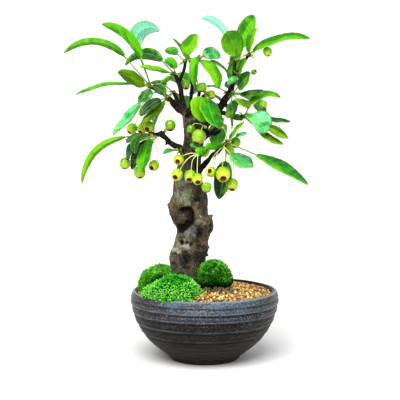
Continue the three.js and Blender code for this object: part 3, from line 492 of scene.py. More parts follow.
class Heap:
    """Points, faces and named values of many small bodies, gathered into one mesh."""

    VECTORS = ("tint", "blade")  # values that are three numbers at each point

    def __init__(self):
        self.points, self.faces, self.values, self.count = [], [], {}, 0

    def add(self, points, faces, **values):
        """Adds a body whose values are given for each of its points, or once for all of them."""
        points = np.asarray(points, float).reshape(-1, 3)
        self.points.append(points)
        self.faces += [np.asarray(face) + self.count for face in faces]
        for key, value in values.items():
            shape = (len(points), 3) if key in self.VECTORS else (len(points),)
            self.values.setdefault(key, []).append(np.broadcast_to(value, shape))
        self.count += len(points)

    def mesh(self, name):
        mesh = bpy.data.meshes.new(name)
        points = np.concatenate(self.points) * MM
        sizes = np.concatenate([np.full(len(face), face.shape[1]) for face in self.faces])
        corners = np.concatenate([face.ravel() for face in self.faces])
        mesh.vertices.add(len(points))
        mesh.vertices.foreach_set("co", points.ravel())
        mesh.loops.add(len(corners))
        mesh.loops.foreach_set("vertex_index", corners)
        mesh.polygons.add(len(sizes))
        mesh.polygons.foreach_set("loop_start", np.cumsum(sizes) - sizes)
        for key, value in self.values.items():
            give_values(mesh, key, np.concatenate(value))
        mesh.update(calc_edges=True)
        return mesh


def mesh_of(shape, name):
    """The mesh of a bmesh, which is then freed."""
    mesh = bpy.data.meshes.new(name)
    shape.to_mesh(mesh)
    shape.free()
    return mesh


def new_object(name, data):
    """An object in the scene with that mesh, camera or light."""
    obj = bpy.data.objects.new(name, data)
    bpy.context.collection.objects.link(obj)
    return obj


def dressed(mesh, material):
    """A smoothly shaded object of the mesh's name, of that material alone."""
    mesh.polygons.foreach_set("use_smooth", np.ones(len(mesh.polygons), bool))
    mesh.materials.clear()
    mesh.materials.append(material)
    return new_object(mesh.name, mesh)


def give(obj, slot, *nodes):
    """The piece stands for those nodes and moves with the part; the slot is not used."""
    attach(obj, "root")
    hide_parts(*nodes)


# ---- shaders ----


class Nodes:
    """Short calls for the nodes of a tree."""

    def __init__(self, tree):
        self.tree = tree

    def link(self, value, socket):
        """Feeds a socket with another socket, a number or a linear colour."""
        if isinstance(value, bpy.types.NodeSocket):
            self.tree.links.new(value, socket)
        elif isinstance(value, (int, float)):
            socket.default_value = value
        else:
            socket.default_value = (*value, 1.0)

    def node(self, kind, **settings):
        node = self.tree.nodes.new(kind)
        for key, value in settings.items():
            setattr(node, key, value)
        return node

    def place(self):
        return self.node("ShaderNodeTexCoord").outputs["Object"]

    def value(self, name):
        return self.node("ShaderNodeAttribute", attribute_name=name).outputs["Fac"]

    def vector(self, name):
        return self.node("ShaderNodeAttribute", attribute_name=name).outputs["Vector"]

    def parts(self, vector):
        node = self.node("ShaderNodeSeparateXYZ")
        self.link(vector, node.inputs[0])
        return node.outputs

    def noise(self, size, detail=3, roughness=0.55):
        """Noise between 0 and 1 with clouds of that size."""
        node = self.node("ShaderNodeTexNoise")
        node.inputs["Scale"].default_value = 1 / (size * MM)
        node.inputs["Detail"].default_value = detail
        node.inputs["Roughness"].default_value = roughness
        self.link(self.place(), node.inputs["Vector"])
        return node.outputs[0]

    def dots(self, size):
        """The distance from the middle of the nearest dot, for dots about that far apart."""
        node = self.node("ShaderNodeTexVoronoi")
        node.inputs["Scale"].default_value = 1 / (size * MM)
        self.link(self.place(), node.inputs["Vector"])
        return node.outputs["Distance"]

    def math(self, operation, *values):
        node = self.node("ShaderNodeMath", operation=operation)
        for value, socket in zip(values, node.inputs):
            self.link(value, socket)
        return node.outputs[0]

    def times(self, first, second):
        return self.math("MULTIPLY", first, second)

    def band(self, value, low, high, to_low=0.0, to_high=1.0):
        """A number that goes smoothly from to_low to to_high as the value goes from low to high."""
        node = self.node("ShaderNodeMapRange", interpolation_type="SMOOTHSTEP")
        for number, socket in zip((value, low, high, to_low, to_high), node.inputs):
            self.link(number, socket)
        return node.outputs[0]

    def mix(self, share, first, second, blend="MIX"):
        """A mix of two colours: sRGB tuples of 0 to 255, arrays of linear values, or sockets."""
        node = self.node("ShaderNodeMix", data_type="RGBA", blend_type=blend)
        self.link(share, node.inputs[0])
        for colour, socket in ((first, node.inputs[6]), (second, node.inputs[7])):
            self.link(linear(*colour) if isinstance(colour, tuple) else colour, socket)
        return node.outputs[2]

    def bump(self, height, depth, strength=1.0, under=None):
        """A bump of that depth in millimetres, on top of another one if there is one."""
        node = self.node("ShaderNodeBump")
        node.inputs["Strength"].default_value = strength
        node.inputs["Distance"].default_value = depth * MM
        self.link(height, node.inputs["Height"])
        if under is not None:
            self.link(under, node.inputs["Normal"])
        return node.outputs[0]


class Shader(Nodes):
    """A Principled material, whose base colour is laid on in coats."""

    def __init__(self, name, **sockets):
        self.material = bpy.data.materials.new(name)
        self.material.use_nodes = True
        super().__init__(self.material.node_tree)
        self.surface = self.tree.nodes["Principled BSDF"]
        self.base = None
        for key, value in sockets.items():
            self.surface.inputs[key.replace("_", " ")].default_value = value

    def lay(self, share, colour, blend="MIX"):
        """Lays a coat of colour over the base that there is."""
        self.base = self.mix(share, self.base, colour, blend)

    def finished(self, normal=None):
        """The material, with its base colour and its bump, if it has one, in place."""
        self.link(self.base, self.surface.inputs["Base Color"])
        if normal is not None:
            self.link(normal, self.surface.inputs["Normal"])
        return self.material


def stoneware():
    """Dark turned stoneware: painted bluish sky sheen on the upper bands, painted glints on the lips
    and painted shade in the grooves, brown-black below, fine specks.
    """
    shader = Shader("stoneware", Specular_IOR_Level=0.2)
    band, lay = shader.band, shader.lay
    right, _, height = shader.parts(shader.place())
    cloud, fine = shader.noise(15, 4, 0.6), shader.noise(1.5, 4, 0.8)
    level = shader.math("ADD", height, shader.times(cloud, 0.009))
    # Painted bluish sky reflection on the front middle of the upper bands, fading to purple-brown on
    # the left and dark grey on the right.
    shader.base = shader.mix(band(right, -0.05, -0.02), (54, 46, 48), (84, 100, 116))
    lay(band(right, 0.018, 0.048), (58, 64, 64))
    lay(band(cloud, 0.36, 0.66, 0, 0.75), (52, 48, 48))
    body = shader.mix(band(cloud, 0.35, 0.65), (19, 15, 13), (38, 31, 27))
    lay(band(level, 0.0545, 0.0425), body)
    lay(band(height, 0.012, 0.003, 0, 0.4), (56, 50, 34))
    lip_glint_groove_shade = shader.value("lip_glint_groove_shade")
    # Painted glints on the lips and along the rim, painted shade in the grooves.
    lay(band(lip_glint_groove_shade, 0.08, 0.6, 0, 0.75), (124, 134, 144))
    lay(band(lip_glint_groove_shade, -0.05, -0.8, 0, 0.85), (14, 12, 12))
    lay(shader.times(band(fine, 0.52, 0.66), band(level, 0.03, 0.055, 0.16, 0.85)), (138, 142, 146))
    lay(band(fine, 0.46, 0.34, 0, 0.8), (16, 14, 15))
    lay(shader.value("inner"), (46, 32, 24))
    shader.link(band(level, 0.034, 0.054, 0.5, 0.36), shader.surface.inputs["Roughness"])
    coarse = shader.bump(shader.noise(2.2, 4, 0.65), 0.3, 0.5)
    return shader.finished(shader.bump(fine, 0.25, 0.6, coarse))


def grainy(name, grain, dark, light, roughness, depth, strength):
    """A plain stuff whose grain, given as [size, detail, roughness], shows in colour and relief."""
    shader = Shader(name, Roughness=roughness)
    noise = shader.noise(*grain)
    shader.base = shader.mix(noise, dark, light)
    return shader.finished(shader.bump(noise, depth, strength))


def grit():
    """Top dressing: every grain has its own tint, with finer mottling over it."""
    shader = Shader("grit", Roughness=0.42, Specular_IOR_Level=0.5)
    shader.base = shader.vector("tint")
    shader.lay(shader.band(shader.noise(0.9, 3, 0.6), 0.4, 0.7, 0, 0.3), (255, 236, 180))
    shader.lay(shader.band(shader.noise(0.6, 2), 0.58, 0.72, 0, 0.6), (96, 60, 22))
    return shader.finished(shader.bump(shader.noise(0.45, 2), 0.12, 0.6))


def moss_green(name, facts):
    """Moss: painted shade dark between the tufts, painted light bright at the ends of the needles,
    darker in broad patches, painted shadow at the foot.
    """
    shader = Shader(name, Roughness=0.7, Specular_IOR_Level=0.06)
    band, lay = shader.band, shader.lay
    along = shader.value("along")
    # Painted shade dark at the needles' roots and on the mound, painted light on their tips.
    shader.base = shader.mix(band(along, 0.15, 0.8), facts["deep"], facts["leafy"])
    lay(shader.times(band(along, 0.2, 0.75), shader.value("light")), facts["tip"])
    lay(band(shader.noise(9, 3), 0.4, 0.62, 0, facts["shade"]), (90, 130, 70), "MULTIPLY")
    lay(band(shader.noise(3, 3), 0.45, 0.65, 0, facts["shade"]), (90, 130, 70), "MULTIPLY")
    height = shader.parts(shader.place())[2]
    # Painted shadow, near black, on the foot of the cushion.
    lay(band(height, 0.069, 0.061, 0, facts["cushion_foot_shade"]), (5, 8, 3))
    return shader.finished(shader.bump(shader.noise(0.35, 2), 0.08, 0.5))


def bark():
    """Grey-olive bark in patches, with painted shade dark in its hollows and creases, and almost black
    on the twigs.
    """
    shader = Shader("bark", Roughness=0.8, Specular_IOR_Level=0.2)
    band, lay = shader.band, shader.lay
    grain, fine = shader.noise(2.6, 4, 0.7), shader.noise(0.9, 3, 0.7)
    shader.base = shader.vector("tint")
    lay(band(grain, 0.48, 0.32, 0, 0.7), (150, 130, 110), "MULTIPLY")
    lay(band(grain, 0.55, 0.7, 0, 0.3), (160, 154, 128))
    lay(band(fine, 0.5, 0.66, 0, 0.7), (34, 27, 22))
    lay(band(fine, 0.45, 0.34, 0, 0.45), (176, 172, 152))
    # Painted shade in the hollows and creases, with the twigs' dark bark.
    lay(shader.times(shader.value("dark"), 0.96), (12, 8, 8))
    return shader.finished(shader.bump(fine, 0.3, 0.7, shader.bump(grain, 0.8, 0.7)))


def leaf_green(name):
    """Leaves: each with its own tint, painted light and painted shade on the two halves and in broad
    patches, painted sky sheen, fine veins and a lime-green margin.
    """
    shader = Shader(name, Roughness=0.38, Specular_IOR_Level=0.2)
    band, lay, noise, times = shader.band, shader.lay, shader.noise, shader.times
    _, across, face = shader.parts(shader.vector("blade"))
    away = shader.math("ABSOLUTE", across)
    shader.base = shader.vector("tint")
    # Painted shade on one half of the blade and in broad patches.
    deep = shader.math("ADD", noise(11), band(across, -0.6, 0.6, -0.12, 0.1))
    lay(band(deep, 0.4, 0.62, 0, 0.85), (112, 170, 105), "MULTIPLY")
    # Painted light, lime, on the other half and in patches.
    limy = shader.math("ADD", noise(10, 2), band(across, 0.2, -0.9, 0, 0.16))
    lay(band(limy, 0.52, 0.74, 0, 0.5), (118, 180, 12))
    streak = noise(1.6, 3, 0.65)
    lay(band(streak, 0.5, 0.75, 0, 0.4), (120, 170, 90), "MULTIPLY")
    # Painted sky reflection: mint sheen in patches and cyan-white glints.
    mint = shader.value("mint")
    lay(times(mint, band(noise(8), 0.34, 0.54)), (116, 204, 138))
    lay(times(mint, band(noise(5), 0.56, 0.66, 0, 0.7)), (176, 238, 220))
    vein = band(shader.math("PINGPONG", shader.value("vein"), 0.5), 0.1, 0)
    vein = times(vein, band(away, 0.95, 0.4))
    lay(times(vein, 0.16), (120, 200, 60))
    # The underside is paler, turning pale mint with the painted sky sheen.
    underside = shader.mix(band(mint, 0.5, 0.9), (104, 196, 70), (150, 226, 200))
    lay(times(band(face, 0, -0.5), shader.value("bloom")), underside)
    lay(band(away, 0.08, 0.02, 0, 0.3), (150, 210, 60))
    margin = shader.mix(band(across, 0.3, -0.3), (104, 96, 16), (136, 190, 24))
    lay(band(away, 0.8, 1.0, 0, 0.65), margin)
    return shader.finished(shader.bump(streak, 0.16, 0.5, shader.bump(vein, 0.22, 0.5)))


def fruit_skin():
    """Unripe fruit: lime with pale dots, yellow towards the eye, brown-red in it."""
    shader = Shader("fruit_skin", Roughness=0.22, Specular_IOR_Level=0.5, Subsurface_Weight=0.1,
                    Subsurface_Scale=0.0015, Subsurface_Radius=(0.8, 1.0, 0.2))
    band, lay = shader.band, shader.lay
    cloud = shader.noise(3)
    shader.base = shader.mix(band(cloud, 0.38, 0.62), (116, 172, 18), (168, 208, 34))
    lay(band(shader.value("along"), 0.1, -0.9, 0, 0.6), (214, 208, 58))
    lay(shader.times(shader.value("green"), 0.8), (92, 150, 12))
    lay(band(shader.dots(1), 0.2, 0.08, 0, 0.45), (224, 240, 140))
    eye = shader.value("eye")
    lay(band(eye, 0.02, 0.5), (140, 70, 20))
    lay(band(eye, 0.8, 1.0, 0, 0.85), (84, 22, 20))
    lay(shader.value("stem"), (218, 224, 140))
    return shader.finished(shader.bump(cloud, 0.15, 0.3))


# ---- pot ----


def rounded(section, step, passes):
    """A section with points at even steps and its corners worn a little round."""
    section = np.asarray(section, float)
    run = np.concatenate([[0], np.cumsum(np.linalg.norm(np.diff(section, axis=0), axis=1))])
    even = np.linspace(0, run[-1], int(run[-1] / step))
    line = np.stack([np.interp(even, run, section[:, i]) for i in range(2)], axis=1)
    for _ in range(passes):
        line[1:-1] = (line[:-2] + 2 * line[1:-1] + line[2:]) / 4
    return line


def grooved(section):
    """The outer half section with its grooves cut, and how much each point is a lip or groove, for
    painted glints on the lips and painted shade in the grooves.
    """
    radius, height = section.T.copy()
    relief = np.zeros(len(section))
    for level, depth, reach in GROOVES:
        groove = bell(height - level, reach) * (radius > FOOT_RADIUS)
        lip = bell(height - level - 1.6 * reach, reach)
        # Lips get a painted glint, grooves painted shade.
        relief += (0.45 * lip - 1.3 * groove) * depth
        radius -= depth * groove * (height < RIM_FOOT)
    return np.stack([radius, height], axis=1), relief


def hand_turned(points, radius):
    """Points of the pot's skin with the wobble, scratches and grain of hand turning."""
    wobble = 0.22 * bumps(points, 15, 4) + 0.1 * bumps(points * [0.3, 0.3, 1.2], 3.2, 6)
    wobble += 0.08 * bumps(points, 1.5, 9) + 0.08 * np.sin(points[:, 2] * 3.6 + bumps(points, 30, 2))
    wobble *= np.clip((points[:, 2] - 1) / 2, 0, 1)
    wider = 1 + wobble / radius
    points = points * np.stack([wider, wider, np.ones(len(wider))], axis=1)
    points[:, 2] += np.where(points[:, 2] > RIM_FOOT, 0.2 * bumps(points, 17, 8), 0)
    return points


def bridge(shape, below, above):
    """Faces between two rings of as many vertices."""
    for k, (low, high) in enumerate(zip(below, above)):
        n = (k + 1) % len(below)
        shape.faces.new((low, below[n], above[n], high))


def add_plate(shape, ring, z, up):
    """Fills a level plate between a ring of vertices and the drain holes, and returns their rims."""
    rims = []
    for turn in math.pi / 2 + turns(DRAIN_HOLES):
        x, y = DRAIN_RING * math.cos(turn), DRAIN_RING * math.sin(turn)
        rims.append([shape.verts.new(((x + DRAIN_RADIUS * math.cos(k)) * MM,
                                      (y + DRAIN_RADIUS * math.sin(k)) * MM,
                                      z * MM)) for k in turns(DRAIN_SIDES)])
    edges = []
    for loop in (ring, *rims):
        for a, b in zip(loop, loop[1:] + loop[:1]):
            edges.append(shape.edges.get((a, b)) or shape.edges.new((a, b)))
    bmesh.ops.triangle_fill(shape, use_beauty=True, edges=edges, normal=(0, 0, up))
    return rims


def make_pot():
    outside, relief = grooved(rounded(POT_OUTSIDE, POT_STEP, 2))
    section = np.vstack([outside, rounded(POT_INSIDE, 1.2, 1)])
    turn = np.tile(turns(POT_SIDES), len(section))
    radius, height = np.repeat(section, POT_SIDES, axis=0).T
    points = np.stack([radius * np.cos(turn), radius * np.sin(turn), height], axis=1)
    points = hand_turned(points, radius)
    shape = bmesh.new()
    rows = [[shape.verts.new(point) for point in row]
            for row in (points * MM).reshape(len(section), POT_SIDES, 3)]
    for below, above in zip(rows, rows[1:]):
        bridge(shape, below, above)
    under = add_plate(shape, rows[0], 0, -1)
    floor = add_plate(shape, rows[-1], FLOOR_TOP, 1)
    for low, high in zip(under, floor):
        bridge(shape, low[::-1], high[::-1])
    bmesh.ops.recalc_face_normals(shape, faces=shape.faces)
    mesh = mesh_of(shape, "pot_turned")
    # Where the material paints glints on the lips and shade in the grooves.
    lip_glint_groove_shade = np.zeros(len(mesh.vertices))
    lip_glint_groove_shade[:len(outside) * POT_SIDES] = np.repeat(relief, POT_SIDES)
    lip_glint_groove_shade[:len(points)] *= 0.8 + 0.5 * bumps(points, 9, 12)
    # Painted glint along the top of the rim.
    lip_glint_groove_shade[:len(points)] += 0.9 * bell(points[:, 2] - RIM_TOP + 0.4, 0.7) * (radius > 57)
    give_values(mesh, "lip_glint_groove_shade", lip_glint_groove_shade)
    inner = np.arange(len(mesh.vertices)) >= (len(outside) - 6) * POT_SIDES
    give_values(mesh, "inner", inner.astype(float))
    give(dressed(mesh, stoneware()), "pot", "pot")


def dress_hidden_nodes():
    """Nets and soil keep their CAD meshes, with materials of their own."""
    net = grainy("net_plastic", [1.4, 2], (28, 28, 30), (46, 46, 50), 0.6, 0.1, 0.5)
    earth = grainy("earth", [2.2, 4, 0.7], (26, 18, 12), (92, 64, 42), 0.95, 1.2, 0.9)
    dress = {"soil": earth}
    for hole in range(DRAIN_HOLES):
        dress[f"drain_net_{hole + 1}"] = net
    for node, material in dress.items():
        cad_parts[node].data.materials.clear()
        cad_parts[node].data.materials.append(material)


# ---- moss ----

NEEDLE_FACES = np.array([[0, 1, 4], [1, 3, 4], [0, 4, 2], [2, 4, 5], [4, 3, 5], [3, 2, 5],
                         [0, 2, 3], [0, 3, 1]])
NEEDLE_ALONG = np.array([0, 0, 0.5, 0.5, 0.5, 1.0])  # how far out along the needle each corner is


def soil_height(x, y):
    """Height of the soil's surface under a place."""
    return SOIL_MIDDLE - (SOIL_MIDDLE - SOIL_WALL) * (x * x + y * y) / SOIL_REACH**2


def trunk_axis(z):
    """The middle x, the middle y and the radius of the trunk at a height."""
    rows = np.array(TRUNK)
    return [np.interp(z, rows[:, 2], rows[:, i]) for i in (0, 1, 3)]


def needle_star(draw, needles, length, width, spread):
    """One tuft: three-sided needles that lean out from the middle, as an array of their corners."""
    star = []
    for i in range(needles):
        turn = 2 * math.pi * (i + draw.uniform(-0.3, 0.3)) / needles
        lean = math.radians(spread * draw.uniform(0.45, 1.15) if i else 4)
        axis = np.array([math.sin(lean) * math.cos(turn), math.sin(lean) * math.sin(turn),
                         math.cos(lean)])
        side = np.array([-math.sin(turn), math.cos(turn), 0.0])
        front = np.cross(side, axis)
        half = width / 2 * draw.uniform(0.8, 1.2)
        reach = length * draw.uniform(0.75, 1.15)
        middle = axis * reach * 0.55
        droop = np.array([0, 0, -0.12 * reach * math.sin(lean)])
        star.append([side * half * 0.5, -side * half * 0.5, middle + side * half,
                     middle - side * half, middle - front * half * 0.8, axis * reach + droop])
    return np.array(star)


def mound(ways, half, facts):
    """Points of a cushion's skin out along those ways from its middle."""
    swell = 1 + facts["lump"] * layered(ways * half.mean(), 9, 2, facts["seed"])
    for *way, reach, depth in facts["dips"]:
        away = np.linalg.norm(ways - np.array(way) / np.linalg.norm(way), axis=1)
        swell -= depth * bell(away, reach)
    return ways * swell[:, None] * half + facts["at"]


def kept_in_pot(points):
    """Points drawn in from the wall and up from the soil."""
    points = points.copy()
    radius = np.hypot(points[:, 0], points[:, 1])
    limit = np.where(points[:, 2] > RIM_TOP, MOSS_OVER_RIM, INNER_RADIUS)
    points[:, :2] *= np.minimum(1, limit / np.maximum(radius, 1e-6))[:, None]
    foot = soil_height(points[:, 0], points[:, 1]) - MOSS_UNDER_SOIL
    points[:, 2] = np.maximum(points[:, 2], foot)
    return points


def outside_others(points, name):
    """Which points are clear of the trunk and of the other moss cushions."""
    x, y, radius = trunk_axis(points[:, 2])
    clear = np.hypot(points[:, 0] - x, points[:, 1] - y) > radius + TUFT_OFF_WOOD
    for other, facts in CUSHIONS.items():
        if other != name:
            away = np.linalg.norm((points - facts["at"]) / facts["half"], axis=1)
            clear &= away > TUFT_IN_MOSS
    return clear


def tuft_roots(draw, name, tufts, half):
    """Where the tufts of a layer grow, evenly over the cushion, and which way each stands."""
    index = np.arange(tufts * 2) + 0.5
    polar = np.arccos(1 - index / tufts)
    around = math.pi * (1 + 5**0.5) * index
    ways = np.stack([np.cos(around) * np.sin(polar), np.sin(around) * np.sin(polar),
                     np.cos(polar)], axis=1)
    ways = unit(ways + draw.normal(0, 0.02, ways.shape))
    roots = mound(ways, half, CUSHIONS[name])
    radius = np.hypot(roots[:, 0], roots[:, 1])
    kept = (roots[:, 2] > soil_height(roots[:, 0], roots[:, 1]) - 1) & (radius < MOSS_SPREAD)
    kept &= outside_others(roots, name)
    up = unit(ways[kept] / half)
    return kept_in_pot(roots[kept]), unit(up + draw.normal(0, 0.16, up.shape))


def add_tufts(heap, draw, name, number, half):
    """Adds a layer of tufts to a cushion."""
    tufts, needles, length, width, spread, least, most = CUSHIONS[name]["layers"][number]
    roots, up = tuft_roots(draw, name, tufts, half)
    side = unit(np.cross(up, draw.normal(size=up.shape)))
    frames = np.stack([side, np.cross(up, side), up], axis=2)
    stars = np.array([needle_star(draw, needles, length, width, spread)
                      for _ in range(TUFT_KINDS)])
    chosen = stars[draw.integers(0, TUFT_KINDS, len(roots))].reshape(len(roots), -1, 3)
    fine = roots[:, 2] > CUSHIONS[name]["fine_above"]
    size = draw.uniform(0.7, 1.2, len(roots)) * np.where(fine, FINE_TUFT, 1)
    placed = roots[:, None] + np.einsum("nij,nkj->nki", frames, chosen * size[:, None, None])
    placed += up[:, None] * 0.5 * number
    light = draw.uniform(least, most, len(roots)) * np.where(fine, FINE_LIGHT, 1)
    light = light[:, None] * draw.uniform(0.35, 1.0, (len(roots), needles))
    corners = len(NEEDLE_ALONG)
    faces = np.arange(light.size)[:, None, None] * corners + NEEDLE_FACES
    heap.add(placed, [faces.reshape(-1, 3)], along=np.tile(NEEDLE_ALONG, light.size),
             light=np.repeat(light.ravel(), corners))


def make_moss(name):
    """A mossy cushion: a lumpy mound covered with layers of tufts."""
    facts = CUSHIONS[name]
    draw = np.random.default_rng(facts["seed"])
    half = np.array(facts["half"], float) - TUFT_ROOM
    heap = Heap()
    ways, faces = ball(1, [0, 0, 0], 5)
    body = mound(ways, half, facts)
    body += ways / half * 0.35 * bumps(body, MOSS_CRUMB, facts["seed"] + 5)[:, None] * half.mean()
    # The bare mound takes the darkest colour: painted shade under the tufts.
    heap.add(kept_in_pot(body), faces, along=0.0, light=0.0)
    for number in range(len(facts["layers"])):
        add_tufts(heap, draw, name, number, half)
    give(dressed(heap.mesh(f"{name}_tufts"), moss_green(name, facts)), "moss", name)


# ---- gravel ----

GRAIN_FLATS = 9  # cut on each stone
GRAIN_TINTS = [
    (240, 210, 132), (218, 178, 84), (178, 124, 46), (128, 82, 34), (226, 192, 104), (202, 156, 66),
    (246, 230, 180), (152, 100, 40), (104, 84, 70), (222, 184, 88), (184, 134, 56), (104, 66, 30),
]
# Painted shade in the gaps between the grains.
GAP_SHADE_TINT = linear(44, 26, 13)


def grain_shapes(draw):
    """Angular little stones: balls cut by a few flats and pulled longer one way."""
    points, faces = ball(1, [0, 0, 0], 2)
    shapes = []
    for _ in range(GRAIN_SHAPES):
        stone = points.copy()
        for _flat in range(GRAIN_FLATS):
            normal = unit(draw.normal(size=3))
            beyond = np.maximum(stone @ normal - draw.uniform(0.5, 0.8), 0)
            stone -= beyond[:, None] * normal * 0.95
        stone *= draw.uniform([0.75, 0.7, 0.55], [1.15, 1.0, 0.85])
        shapes.append(stone)
    return shapes, faces


def add_bed(heap):
    """Adds the dark bed that closes the gaps between the grains, as painted shade in the gaps."""
    turn = turns(BED_SIDES)
    radius = np.linspace(INNER_RADIUS, 1, BED_RINGS)[:, None]
    x, y = radius * np.cos(turn), radius * np.sin(turn)
    bed = np.stack([x, y, soil_height(x, y) + BED_LIFT], axis=-1)
    bed[..., 2] += 0.5 * bumps(bed.reshape(-1, 3), 1.8, 3).reshape(bed.shape[:2])
    underside = bed[:1] * [1, 1, 0] + [0, 0, SOIL_WALL + BED_FOOT]
    heap.add(*loft(np.concatenate([underside, bed])), tint=GAP_SHADE_TINT)


def turned(points, quaternion):
    """Points turned by a quaternion of any length."""
    w, x, y, z = unit(quaternion)
    matrix = np.array([
        [1 - 2 * (y * y + z * z), 2 * (x * y - z * w), 2 * (x * z + y * w)],
        [2 * (x * y + z * w), 1 - 2 * (x * x + z * z), 2 * (y * z - x * w)],
        [2 * (x * z - y * w), 2 * (y * z + x * w), 1 - 2 * (x * x + y * y)]])
    return points @ matrix.T


def covered(at):
    """Whether the trunk or a moss cushion stands on a place."""
    x, y, radius = trunk_axis(at[2])
    if np.hypot(at[0] - x, at[1] - y) < radius + GRAIN_OFF_WOOD:
        return True
    return any(np.linalg.norm((at - facts["at"]) / facts["half"]) < GRAIN_IN_MOSS
               for facts in CUSHIONS.values())


def moss_shadow_and_back_tint(at):
    """How light a grain is: near black with painted shadow at the foot of the right-hand cushion,
    redder at the back.
    """
    beside = np.hypot(*((at[:2] - MOSS_SHADOW_AT) / MOSS_SHADOW_REACH))
    # Painted shadow, near black, at the foot of the right-hand cushion.
    cushion_foot_shade = 0.04 + 0.96 * min(1, max(0, (beside - 0.6) / 0.5))
    back = min(1, max(0, (at[1] + 25) / 45))
    return cushion_foot_shade * (1 - back * np.array([0.08, 0.2, 0.4]))


def make_gravel():
    draw = np.random.default_rng(GRAVEL_SEED)
    shapes, faces = grain_shapes(draw)
    heap = Heap()
    add_bed(heap)
    for pitch, lift, left_out in GRAVEL_LAYERS:
        reach = int(GRAVEL_REACH / pitch) + 1
        for i, j in itertools.product(range(-reach, reach + 1), repeat=2):
            place = np.array([i + 0.5 * (j % 2), j * GRAVEL_ROWS]) * pitch
            place += draw.uniform(-GRAVEL_JITTER, GRAVEL_JITTER, 2) * pitch
            size = draw.uniform(*GRAIN_SIZE)
            shape = shapes[draw.integers(GRAIN_SHAPES)]
            spin = draw.normal(size=4)
            tint = linear(*GRAIN_TINTS[draw.integers(len(GRAIN_TINTS))])
            shade = draw.uniform(0.5, 1.15)
            lifted = lift + draw.uniform(-0.4, 0.5)
            at = np.array([*place, soil_height(*place) + lifted])
            if np.hypot(*place) + size * 0.7 > INNER_RADIUS or covered(at):
                continue
            if left_out and draw.uniform() < left_out:
                continue
            # Each grain's tint with painted shadow by the right-hand cushion.
            heap.add(turned(shape * size, spin) + at, faces, tint=tint * shade * moss_shadow_and_back_tint(at))
    give(dressed(heap.mesh("gravel_grains"), grit()), "gravel", "gravel")


# ---- trunk and limbs ----


def relief_of(heading, z):
    """Height of ripples, knobs and root ridges at a heading and height of the trunk."""
    relief = np.zeros_like(z)
    for waves, pitch, size in RIPPLES:
        relief += size * np.sin(waves * heading + z / pitch)
    for height, degrees, reach, reach_round, size in KNOBS:
        away = np.abs((np.degrees(heading) - degrees + 180) % 360 - 180)
        relief += size * np.exp(-((z - height) / reach) ** 2 - (away / reach_round) ** 2)
    foot = np.maximum(0, (FLARE_TOP - z) / FLARE_TOP)
    relief += FLARE_HEIGHT * foot * np.maximum(0, np.cos(FLARE_LOBES * heading + 1))
    return np.where(z < SMOOTH_BELOW, 0, relief)


def trunk_skin():
    turn = turns(TRUNK_SIDES)
    rings = []
    for x, y, z, radius in spline(TRUNK, CURVE_STEPS):
        level = np.full(TRUNK_SIDES, z)
        reach = radius + relief_of(turn, level)
        rings.append(np.stack([x + reach * np.cos(turn), y + reach * np.sin(turn), level], axis=1))
    return loft(rings)


def scar_ring():
    """Rows of the ring of bark round the healed cut."""
    turn = np.linspace(0, 2 * np.pi, 25)
    return np.column_stack([SCAR[0] + SCAR_RADIUS * np.cos(turn), SCAR[1] + 0.5 * np.cos(turn),
                            SCAR[2] + SCAR_RADIUS * np.sin(turn),
                            np.full(len(turn), SCAR_THICKNESS)])


def kinked(rows):
    """A limb with the small kinks and swollen nodes that real twigs have."""
    rows = rows.copy()
    sway = np.stack([bumps(rows[:, :3], 5, seed) for seed in (1, 2, 3)], axis=1)
    inner = np.clip(np.minimum(np.arange(len(rows)), np.arange(len(rows))[::-1]) / 4, 0, 1)
    rows[:, :3] += 0.55 * sway * inner[:, None]
    rows[:, 3] *= 1 + 0.14 * bumps(rows[:, :3], 3.4, 9)
    return rows


def one_skin(heap, name):
    """The mesh that joins the heap's overlapping bodies in one skin of even faces."""
    rough = new_object("rough", heap.mesh("rough"))
    remesh = rough.modifiers.new("even", "REMESH")
    remesh.mode = "VOXEL"
    remesh.voxel_size = BARK_CELL * MM
    graph = bpy.context.evaluated_depsgraph_get()
    mesh = bpy.data.meshes.new_from_object(rough.evaluated_get(graph))
    bpy.data.objects.remove(rough)
    mesh.name = name
    return mesh


def vertex_values(mesh, key):
    """Three numbers of each vertex, such as its place or its normal."""
    values = np.empty(3 * len(mesh.vertices))
    mesh.vertices.foreach_get(key, values)
    return values.reshape(-1, 3)


def bark_relief(points, front, twig):
    """How far the bark stands out at each point, and how dark it is there: painted shade in the
    hollows and creases, and the twigs' dark bark.
    """
    dark, depth = np.zeros(len(points)), np.zeros(len(points))
    for x, z, wide, high, deep in DENTS:
        near = np.exp(-((points[:, 0] - x) / wide) ** 2 - ((points[:, 2] - z) / high) ** 2)
        # Painted shade darkens the hollows.
        dark += near * front * min(1.2, deep / 1.6)
        depth = np.maximum(depth, 1.3 * deep * near * front)
    lump = layered(points, 8, 2, 11)
    ridged = 1 - np.abs(layered(points * [1, 1, 0.75], 5, 3, 31)) * 2
    fine = layered(points, 1.7, 2, 51)
    thick = 1 - 0.8 * twig
    height = thick * (0.6 * lump + 0.42 * (ridged - 0.5) + 0.16 * fine) - depth * (1 - twig)
    height += twig * (0.12 * bumps(points, 2.2, 8) + 0.1 * bumps(points, 5, 18))
    # Painted shade in the creases between the bark's ridges.
    crease = np.clip((0.3 - ridged) * 1.1, 0, 0.45) * thick
    return height, np.clip(dark + crease + 0.55 * twig, 0, 1)


def painted(tint, name, share):
    """The tint of each point with a share of another bark tint over it."""
    share = share[:, None]
    return tint * (1 - share) + linear(*BARK_TINTS[name]) * share


